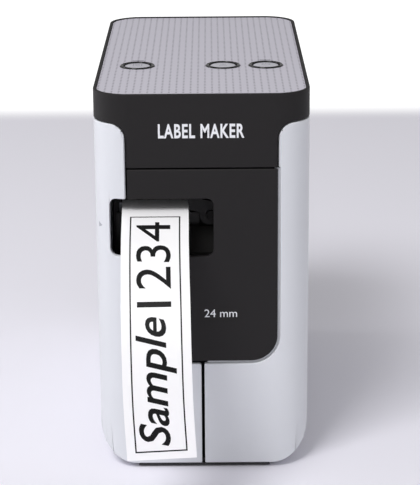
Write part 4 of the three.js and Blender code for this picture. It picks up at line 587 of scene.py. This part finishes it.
# ---- Keys and their rings --------------------------------------------------------------------------
# Three round silver-painted keys, slightly domed, each in a glossy black moulded ring. A printed
# sign on each key says what it does: a page, a sheet with an arrow, a power sign.
def spun(name, middle_x, middle_y, profile, sides=72):
    """A closed profile of (radius, height) points in millimetres, spun about an upright line."""
    bm = bmesh.new()
    verts = [bm.verts.new(Vector((radius, 0, height)) * MM) for radius, height in profile]
    edges = [bm.edges.new(pair) for pair in zip(verts, verts[1:] + verts[:1])]
    bmesh.ops.spin(bm, geom=verts + edges, axis=(0, 0, 1), cent=(0, 0, 0), steps=sides,
                   angle=2 * math.pi, use_merge=True)
    bmesh.ops.remove_doubles(bm, verts=bm.verts[:], dist=1e-7)
    bmesh.ops.dissolve_degenerate(bm, edges=bm.edges[:], dist=1e-7)
    bmesh.ops.translate(bm, verts=bm.verts[:], vec=Vector((middle_x, middle_y, 0)) * MM)
    bmesh.ops.recalc_face_normals(bm, faces=bm.faces[:])
    return as_piece(bm, name)


def arc_points(radius_x, radius_y, centre_x, centre_y, start, end, steps):
    """Points along an ellipse arc, angles in degrees."""
    return [(centre_x + radius_x * math.cos(math.radians(start + (end - start) * i / steps)),
             centre_y + radius_y * math.sin(math.radians(start + (end - start) * i / steps)))
            for i in range(steps + 1)]


def bar(x, y, angle, length, bottom, top, width=0.32):
    """A printed stroke with round ends, centred on (x, y) and turned by angle degrees."""
    piece = prism(rectangle(-length / 2, length / 2, -width / 2, width / 2, width * 0.49), "Z",
                  bottom, top)
    bm = bmesh.new()
    bm.from_mesh(piece.data)
    bmesh.ops.rotate(bm, verts=bm.verts[:], cent=(0, 0, 0),
                     matrix=Matrix.Rotation(math.radians(angle), 3, "Z"))
    bmesh.ops.translate(bm, verts=bm.verts[:], vec=Vector((x, y, 0)) * MM)
    bm.to_mesh(piece.data)
    bm.free()
    return piece


def sign_strokes(key, x, y, bottom, top):
    """Power: a broken ring and a bar. Feed: a sheet edge and an arrow. Editor: a page of lines."""
    if key == "power":
        ring = [bar(x + 1.5 * math.cos(math.radians(angle)), y + 1.5 * math.sin(math.radians(angle)),
                    angle + 90, 0.95, bottom, top)
                for angle in (125 + step * 290 / 12 for step in range(13))]
        return ring + [bar(x, y + 1.3, 90, 1.5, bottom, top)]
    if key == "feed":
        strokes = ((0, -1.6, 0, 3.2), (0, 0.4, 90, 2.6), (-0.55, -0.35, -45, 1.5),
                   (0.55, -0.35, 45, 1.5))
    else:
        strokes = ((0, 1.5, 0, 3.4), (0, -1.5, 0, 3.4), (-1.6, 0, 90, 3.2), (1.6, 0, 90, 3.2),
                   (0, 0.5, 0, 1.8, 0.3), (0, -0.4, 0, 1.8, 0.3))
    return [bar(x + stroke[0], y + stroke[1], stroke[2], stroke[3], bottom, top, *stroke[4:])
            for stroke in strokes]


gloss_black, tree, shader = new_material("polished_black_abs", "#0d0d0f", 0.12, IOR=1.53)
coordinates = place(tree)
ripple = node(tree, "ShaderNodeTexNoise", [("Vector", coordinates, "Object")],
              Scale=1 / (4 * MM), Detail=2.0)
relief = node(tree, "ShaderNodeBump", [("Height", ripple, "Fac")], Strength=0.1, Distance=0.03 * MM)
tree.links.new(relief.outputs["Normal"], shader.inputs["Normal"])

key_paint, tree, shader = new_material("silver_painted_abs", "#c4c3cc", 0.34, 0.25)
coordinates = place(tree)
flake = node(tree, "ShaderNodeTexNoise", [("Vector", coordinates, "Object")],
             Scale=1 / (0.12 * MM), Detail=2.0)
flake_range = node(tree, "ShaderNodeMapRange", [("Value", flake, "Fac")])
flake_range.inputs["To Min"].default_value = 0.28
flake_range.inputs["To Max"].default_value = 0.44
tree.links.new(flake_range.outputs["Result"], shader.inputs["Roughness"])

sign_ink, tree, shader = new_material("grey_pad_printed_ink", "#9b9aa4", 0.5)
coordinates = place(tree)
grain = node(tree, "ShaderNodeTexNoise", [("Vector", coordinates, "Object")], Scale=1 / (0.2 * MM))
relief = node(tree, "ShaderNodeBump", [("Height", grain, "Fac")], Strength=0.2, Distance=0.01 * MM)
tree.links.new(relief.outputs["Normal"], shader.inputs["Normal"])

KEY_RADIUS, KEY_GAP, STEM_RADIUS, FLANGE = 5, 0.3, 1.8, 1
RING_ROUND, GROOVE_HALF, GROOVE_DEEP = 0.35, 0.18, 0.3
DOME_FLAT, DOME_RISE = 0.3, 0.35
INK_DEEP, INK_PROUD = 0.4, 0.02
for key in KEYS:
    ring_low, ring_high = size_of(f"{key}_bezel")
    cap_base, cap_top = size_of(f"{key}_button")
    middle_x = (ring_low[0] + ring_high[0]) / 2
    middle_y = (ring_low[1] + ring_high[1]) / 2
    outer, inner = (ring_high[0] - ring_low[0]) / 2, KEY_RADIUS + KEY_GAP
    groove_radius = (outer + inner) / 2 - 0.05
    profile = [(inner, ring_low[2]), (outer, ring_low[2]), (outer, ring_high[2] - RING_ROUND)]
    profile += arc_points(RING_ROUND, RING_ROUND, outer - RING_ROUND, ring_high[2] - RING_ROUND,
                          0, 90, 5)
    profile += [(groove_radius + GROOVE_HALF, ring_high[2] - 0.05),
                (groove_radius, ring_high[2] - GROOVE_DEEP),
                (groove_radius - GROOVE_HALF, ring_high[2] - 0.05)]
    profile += arc_points(0.2, 0.25, inner + 0.2, ring_high[2] - 0.25, 90, 180, 4)
    ring = spun("ring", middle_x, middle_y, profile)
    ring.data.shade_smooth()
    finish_piece(ring, f"{key}_ring", gloss_black, "housing", "gloss_black_plastic", f"{key}_bezel")

    flange_radius = (cap_top[0] - cap_base[0]) / 2
    flange_top = ring_low[2] - 2 * SEAM - DECK
    dome = arc_points(KEY_RADIUS - DOME_FLAT, DOME_RISE, 0, cap_top[2] - DOME_RISE, 0, 90, 10)
    profile = [(0, cap_base[2]), (STEM_RADIUS, cap_base[2]), (STEM_RADIUS, flange_top - FLANGE),
               (flange_radius, flange_top - FLANGE), (flange_radius, flange_top),
               (KEY_RADIUS, flange_top), (KEY_RADIUS, cap_top[2] - 0.6)] + dome
    cap = spun("key", middle_x, middle_y, profile)
    cap.data.shade_smooth()
    finish_piece(cap, f"{key}_key", key_paint, f"{key}_button", "key_plastic", f"{key}_button")

    strokes = sign_strokes(key, middle_x, middle_y, cap_top[2] - INK_DEEP, cap_top[2] + INK_PROUD)
    sign = join(strokes[0], *strokes[1:])
    finish_piece(sign, f"{key}_sign", sign_ink, f"{key}_button", "key_plastic")

# ---- Printed strip ---------------------------------------------------------------------------------
# Laminated 24 mm tape: a white film under a clear glossy film. It leaves the slot level, arches
# over and hangs in front of the case, with a printed frame and sample text along it.
TAPE_HALF = 12
TAPE_THICKNESS = 0.36
TAPE_STEPS = 90
LEAN = math.radians(3)
tape_middle = [Vector(point) for point in (
    (-17.2, -63.6, 100.8), (-16.9, -76.7, 98.9), (-16.8, -89, 93.3),
    (-16.6, -99.4, 86.8), (-16.2, -112.6, 75.8), (-15.9, -120.4, 63), (-15.4, -125.8, 46),
    (-14.3, -128.8, 26.6))]


def smooth_curve(points, per_span):
    """Centripetal curve through the points."""
    ends = [points[0] * 2 - points[1]] + points + [points[-1] * 2 - points[-2]]
    out = []
    for a, b, c, d in zip(ends, ends[1:], ends[2:], ends[3:]):
        knots = [0]
        for start, stop in ((a, b), (b, c), (c, d)):
            knots.append(knots[-1] + (stop - start).length ** 0.5)
        for step in range(per_span):
            t = knots[1] + (knots[2] - knots[1]) * step / per_span
            first = a.lerp(b, (t - knots[0]) / (knots[1] - knots[0]))
            second = b.lerp(c, (t - knots[1]) / (knots[2] - knots[1]))
            third = c.lerp(d, (t - knots[2]) / (knots[3] - knots[2]))
            fourth = first.lerp(second, (t - knots[0]) / (knots[2] - knots[0]))
            fifth = second.lerp(third, (t - knots[1]) / (knots[3] - knots[1]))
            out.append(fourth.lerp(fifth, (t - knots[1]) / (knots[2] - knots[1])))
    return out + [points[-1]]


tape_path = smooth_curve(tape_middle, 24)
tape_reach = [0]
for start, stop in zip(tape_path, tape_path[1:]):
    tape_reach.append(tape_reach[-1] + (stop - start).length)
TAPE_LENGTH = tape_reach[-1]


def on_tape(across, along, lift):
    """The point of the strip at a distance from its middle line, its inner end and its face."""
    index = 0
    while index < len(tape_reach) - 2 and tape_reach[index + 1] < along:
        index += 1
    start, stop = tape_path[index], tape_path[index + 1]
    share = (along - tape_reach[index]) / (tape_reach[index + 1] - tape_reach[index])
    lean = LEAN * (along / TAPE_LENGTH) ** 2
    sideways = Vector((math.cos(lean), 0, math.sin(lean)))
    outward = (stop - start).cross(sideways).normalized()
    return (start.lerp(stop, share) + sideways * across + outward * lift) * MM


def laid_on_tape(piece, lift_low, lift_high):
    """Cuts a flat piece into short lengths and lays it along the strip: its X runs along the
    strip from the free end, its Y runs to the left, its Z from 0 to 1 mm is its thickness."""
    bm = bmesh.new()
    bm.from_mesh(piece.data)
    lengths = [vert.co.x / MM for vert in bm.verts]
    cut_at = math.ceil(min(lengths))
    while cut_at < max(lengths):
        bmesh.ops.bisect_plane(bm, geom=bm.verts[:] + bm.edges[:] + bm.faces[:],
                               plane_co=(cut_at * MM, 0, 0), plane_no=(1, 0, 0), dist=1e-7)
        cut_at += 2
    for vert in bm.verts:
        lift = lift_low + (lift_high - lift_low) * vert.co.z / MM
        vert.co = on_tape(-vert.co.y / MM, TAPE_LENGTH - vert.co.x / MM, lift)
    bmesh.ops.recalc_face_normals(bm, faces=bm.faces[:])
    bm.to_mesh(piece.data)
    bm.free()
    return piece


CAPITAL_SHARE = 0.729


def lettering(words, height, slant=0, weight=0, spacing=1):
    """Words in the built-in sans-serif letters, a flat mesh 1 mm thick that starts at the origin."""
    curve = bpy.data.curves.new("words", "FONT")
    curve.body = words
    curve.size = height * MM / CAPITAL_SHARE
    curve.shear = slant
    curve.space_character = spacing
    curve.offset = weight * MM
    curve.extrude = 0.5 * MM
    curve.resolution_u = 4
    source = bpy.data.objects.new("words", curve)
    bpy.context.scene.collection.objects.link(source)
    graph = bpy.context.evaluated_depsgraph_get()
    mesh = bpy.data.meshes.new_from_object(source.evaluated_get(graph))
    bpy.data.objects.remove(source)
    bpy.data.curves.remove(curve)
    bm = bmesh.new()
    bm.from_mesh(mesh)
    bmesh.ops.remove_doubles(bm, verts=bm.verts[:], dist=1e-6)
    left = min(vert.co.x for vert in bm.verts)
    bmesh.ops.translate(bm, verts=bm.verts[:], vec=(-left, 0, 0.5 * MM))
    bmesh.ops.recalc_face_normals(bm, faces=bm.faces[:])
    bm.to_mesh(mesh)
    bm.free()
    mesh.materials.clear()
    piece = bpy.data.objects.new("words", mesh)
    bpy.context.scene.collection.objects.link(piece)
    return piece


def fitted(piece, x0, x1, y0, y1):
    """Stretches a flat piece to a place in millimetres."""
    bm = bmesh.new()
    bm.from_mesh(piece.data)
    xs = [vert.co.x for vert in bm.verts]
    ys = [vert.co.y for vert in bm.verts]
    stretch = Vector(((x1 - x0) * MM / (max(xs) - min(xs)), (y1 - y0) * MM / (max(ys) - min(ys)), 1))
    bmesh.ops.translate(bm, verts=bm.verts[:], vec=(-min(xs), -min(ys), 0))
    bmesh.ops.scale(bm, verts=bm.verts[:], vec=stretch)
    bmesh.ops.translate(bm, verts=bm.verts[:], vec=(x0 * MM, y0 * MM, 0))
    bm.to_mesh(piece.data)
    bm.free()
    return piece


tape_film, tree, shader = new_material("laminated_polyester_tape", "#fbfafc", 0.3, IOR=1.6)
shader.inputs["Coat Weight"].default_value = 0.6
shader.inputs["Coat Roughness"].default_value = 0.12
coordinates = place(tree)
wave = node(tree, "ShaderNodeTexNoise", [("Vector", coordinates, "Object")], Scale=1 / (18 * MM))
relief = node(tree, "ShaderNodeBump", [("Height", wave, "Fac")], Strength=0.15, Distance=0.3 * MM)
tree.links.new(relief.outputs["Normal"], shader.inputs["Normal"])
bm = bmesh.new()
bmesh.ops.create_grid(bm, x_segments=TAPE_STEPS, y_segments=6, size=0.5)
bmesh.ops.scale(bm, verts=bm.verts[:], vec=Vector((TAPE_LENGTH, TAPE_HALF * 2, 1)) * MM)
bmesh.ops.translate(bm, verts=bm.verts[:], vec=(TAPE_LENGTH / 2 * MM, 0, 0))
grown = bmesh.ops.extrude_face_region(bm, geom=bm.faces[:])
tips = [item for item in grown["geom"] if isinstance(item, bmesh.types.BMVert)]
bmesh.ops.translate(bm, verts=tips, vec=(0, 0, MM))
strip = laid_on_tape(as_piece(bm, "strip"), -TAPE_THICKNESS / 2, TAPE_THICKNESS / 2)
finish_piece(strip, "printed_strip", tape_film, "housing", "tape_film", "label_strip")

print_ink, tree, shader = new_material("black_thermal_transfer_ink", "#080808", 0.5, IOR=1.3)
coordinates = place(tree)
density = node(tree, "ShaderNodeTexNoise", [("Vector", coordinates, "Object")],
               Scale=1 / (0.3 * MM), Detail=2.0)
darkness = node(tree, "ShaderNodeValToRGB", [("Fac", density, "Fac")])
darkness.color_ramp.elements[0].color = linear("#050505")
darkness.color_ramp.elements[1].color = linear("#101011")
tree.links.new(darkness.outputs["Color"], shader.inputs["Base Color"])
FRAME_SIDE, FRAME_NEAR_END, FRAME_FAR_END, LINE = 3, 2.6, 14.6, 0.5
INK_THICKNESS = 0.02
border_side = TAPE_HALF - FRAME_SIDE
border_far = TAPE_LENGTH - FRAME_FAR_END
border = join(*[prism(rectangle(*line), "Z", 0, 1) for line in (
    (FRAME_NEAR_END, border_far, -TAPE_HALF + FRAME_SIDE, -TAPE_HALF + FRAME_SIDE + LINE),
    (FRAME_NEAR_END, border_far, TAPE_HALF - FRAME_SIDE - LINE, border_side),
    (FRAME_NEAR_END, FRAME_NEAR_END + LINE, -TAPE_HALF + FRAME_SIDE, border_side),
    (border_far - LINE, border_far, -TAPE_HALF + FRAME_SIDE, border_side))])
word = fitted(lettering("Sample", 9, slant=0.25, weight=0.15), 4.6, 49.5, -6.8, 7.2)
number = fitted(lettering("1234", 9), 53, 91, -5.6, 6.6)
for print_name, inked in (("printed_frame", border), ("printed_word", word),
                          ("printed_number", number)):
    laid_on_tape(inked, TAPE_THICKNESS / 2 - INK_THICKNESS, TAPE_THICKNESS / 2 + INK_THICKNESS)
    finish_piece(inked, print_name, print_ink, "housing", "tape_film")

# ---- Printed words on the case -----------------------------------------------------------------------
# White pad-printed letters: what the machine is on the cap's skirt, and the tape width it takes
# on the lower front.
white_ink, tree, shader = new_material("white_pad_printed_ink", "#e9eaee", 0.5)
coordinates = place(tree)
grain = node(tree, "ShaderNodeTexNoise", [("Vector", coordinates, "Object")], Scale=1 / (0.25 * MM))
relief = node(tree, "ShaderNodeBump", [("Height", grain, "Fac")], Strength=0.15, Distance=0.01 * MM)
tree.links.new(relief.outputs["Normal"], shader.inputs["Normal"])


PRINT_SHARE = 0.05


def on_front(piece):
    """Turns a flat piece upright onto the case's front: its Y becomes up, its Z looks forward."""
    bm = bmesh.new()
    bm.from_mesh(piece.data)
    for vert in bm.verts:
        lift = (vert.co.z - 0.5 * MM) * PRINT_SHARE
        vert.co = (vert.co.x, -HALF_DEPTH * MM - lift, vert.co.y)
    bmesh.ops.recalc_face_normals(bm, faces=bm.faces[:])
    bm.to_mesh(piece.data)
    bm.free()
    return piece


title = fitted(lettering("LABEL MAKER", 5, weight=0.18, spacing=1.12), -15.5, 15.2, 127, 132.2)
finish_piece(on_front(title), "case_words", white_ink, "housing", "black_plastic")
tape_size = fitted(lettering("24 mm", 3.4), 0.5, 12.4, 59.6, 62.6)
finish_piece(on_front(tape_size), "tape_size_words", white_ink, "housing", "black_plastic")

# ---- Works, base and sockets ---------------------------------------------------------------------
# What shows through the slot, behind the open side cover, under the case and at the back keeps its
# own solid. Each gets the finish of the real one, with the pieces in the slot kept near black as
# painted shade, and moulded pieces get broken edges.
def dress(material, *cad_nodes, edge=0.0):
    """Gives CAD nodes a material and, where asked, broken edges of a width in millimetres."""
    for cad_node in cad_nodes:
        solid = bpy.data.objects[cad_node]
        solid.data.materials.clear()
        solid.data.materials.append(material)
        if edge:
            modifier = solid.modifiers.new("broken_edges", "BEVEL")
            modifier.width = edge * MM
            modifier.segments = 2
            modifier.limit_method = "ANGLE"
            modifier.angle_limit = math.radians(40)


def textured(name, colour, second, roughness, grain_size, depth, metallic=0.0, stretch=(1, 1, 1),
             **more):
    """A surface whose grain has a size in millimetres and moves the colour a little."""
    material, tree, shader = new_material(name, colour, roughness, metallic, **more)
    coordinates = place(tree)
    turned = node(tree, "ShaderNodeMapping", [("Vector", coordinates, "Object")])
    turned.inputs["Scale"].default_value = stretch
    grain = node(tree, "ShaderNodeTexNoise", [("Vector", turned, "Vector")],
                 Scale=1 / (grain_size * MM), Detail=3.0)
    tint = node(tree, "ShaderNodeValToRGB", [("Fac", grain, "Fac")])
    tint.color_ramp.elements[0].position = 0.3
    tint.color_ramp.elements[0].color = linear(second)
    tint.color_ramp.elements[1].position = 0.7
    tint.color_ramp.elements[1].color = linear(colour)
    tree.links.new(tint.outputs["Color"], shader.inputs["Base Color"])
    relief = node(tree, "ShaderNodeBump", [("Height", grain, "Fac")], Strength=0.3,
                  Distance=depth * MM)
    tree.links.new(relief.outputs["Normal"], shader.inputs["Normal"])
    return material


# Matt black and dark grey mouldings. The exit guide and roller holder are near black as painted shade,
# standing in for the shade deep inside the slot.
slot_shade_black_abs = textured("matt_black_abs_painted_as_slot_shade", "#0b0908", "#080706", 0.8, 0.4, 0.02, IOR=1.3)
dress(slot_shade_black_abs, "exit_guide", "roller_holder", edge=0.25)
base_abs = textured("dark_grey_base_abs", "#2b2a2c", "#252426", 0.55, 0.5, 0.02)
dress(base_abs, "base_tray", "battery_cover", edge=0.35)
grey_abs = textured("grey_chassis_abs", "#4a4a4e", "#434347", 0.55, 0.5, 0.02)
dress(grey_abs, "chassis_plate", edge=0.2)

# Soft black rubber feet and the rubber roller, both a little dusty.
rubber = textured("soft_black_rubber", "#1b1b1c", "#232324", 0.8, 0.6, 0.03)
dress(rubber, "foot_front_left", "foot_front_right", "foot_rear_left", "foot_rear_right",
      "platen_roller", edge=0.3)

# Steel: rolled sheet, ground blades, turned rods and wound spring wire.
# The cutter frame and its pinion are blackened steel; their near-black colour is also painted shade for
# the inside of the slot.
blackened = textured("blackened_steel_sheet_dark_as_slot_shade", "#0e0d0c", "#0a0908", 0.6, 0.5, 0.01, IOR=1.35)
dress(blackened, "cutter_frame", "cutter_pinion", edge=0.12)
rolled = textured("rolled_zinc_plated_steel", "#b3b4b8", "#a3a4a9", 0.35, 0.5, 0.01, 1.0,
                  (1, 1, 0.1))
dress(rolled, "motor_bracket", edge=0.12)
# The blades are cutter steel painted near black as painted shade for the inside of the slot.
slot_shade_blade_steel = textured("cutter_steel_darkened_as_slot_shade", "#1b1a1a", "#151414", 0.45, 0.4, 0.01, 0.6)
dress(slot_shade_blade_steel, "fixed_blade", "moving_blade")
turned_steel = textured("bright_turned_steel", "#c2c3c7", "#b4b5ba", 0.25, 0.2, 0.006, 1.0,
                        (0.1, 1, 1))
dress(turned_steel, "platen_shaft", "hinge_rod", "chassis_screw_front", "chassis_screw_rear")
spring_wire = textured("nickel_plated_spring_wire", "#cfcac0", "#bdb8ae", 0.3, 0.3, 0.01, 1.0)
dress(spring_wire, "holder_spring", "battery_contacts_front", "battery_contacts_rear")
motor_can = textured("satin_nickel_motor_can", "#a9a9ad", "#9c9ca1", 0.4, 0.6, 0.01, 1.0,
                     (0.15, 1, 1))
dress(motor_can, "feed_motor", "cutter_motor")
fins = textured("extruded_aluminium", "#c6c7c9", "#b7b8bb", 0.38, 0.4, 0.01, 1.0, (1, 1, 0.1))
dress(fins, "heat_sink", edge=0.1)
head = textured("dark_glazed_ceramic", "#3b2f2a", "#342a26", 0.2, 0.8, 0.005, IOR=1.7)
dress(head, "print_head", edge=0.1)

# Natural acetal gears and the cassette's pale grey polystyrene, with white spools.
acetal = textured("natural_acetal", "#e2e0d6", "#d8d6cb", 0.4, 0.5, 0.01, Subsurface_Weight=0.05,
                  Subsurface_Scale=0.001)
dress(acetal, "feed_pinion", "idler_gear", "platen_gear", "take_up_spindle")
cassette_grey = textured("cassette_grey_polystyrene", "#8f9298", "#868990", 0.35, 0.5, 0.015)
dress(cassette_grey, "cassette_case", "cassette_lid", edge=0.3)
dress(tape_film, "cassette_tape")
wound_tape = textured("wound_tape_edges", "#e6e5e2", "#cfcdc9", 0.5, 0.25, 0.02, 0.0, (0.02, 1, 1))
dress(wound_tape, "tape_spool")
wound_ribbon = textured("wound_ink_ribbon", "#1a1a1c", "#26262a", 0.25, 0.2, 0.02, 0.0,
                        (0.02, 1, 1))
dress(wound_ribbon, "ribbon_spool")

# Boards with green solder mask, the cells' printed film, the sockets and the light guides.
solder_mask = textured("green_solder_mask", "#1f5a36", "#184a2c", 0.3, 1.5, 0.01)
dress(solder_mask, "main_board", "key_board", edge=0.1)
cell_film = textured("printed_cell_film", "#3c3f45", "#33363b", 0.3, 6, 0.005, 0.4)
dress(cell_film, *[f"battery_cell_{number}" for number in range(1, 7)], edge=0.3)
dress(rolled, "usb_socket")
jack_abs = textured("glass_filled_black_nylon", "#1c1c1e", "#242426", 0.5, 0.3, 0.02)
dress(jack_abs, "power_jack", edge=0.2)
frosted = textured("frosted_acrylic_light_guide", "#8d8c95", "#84838c", 0.45, 0.3, 0.01, IOR=1.49)
dress(frosted, "editor_lamp", "power_lamp")
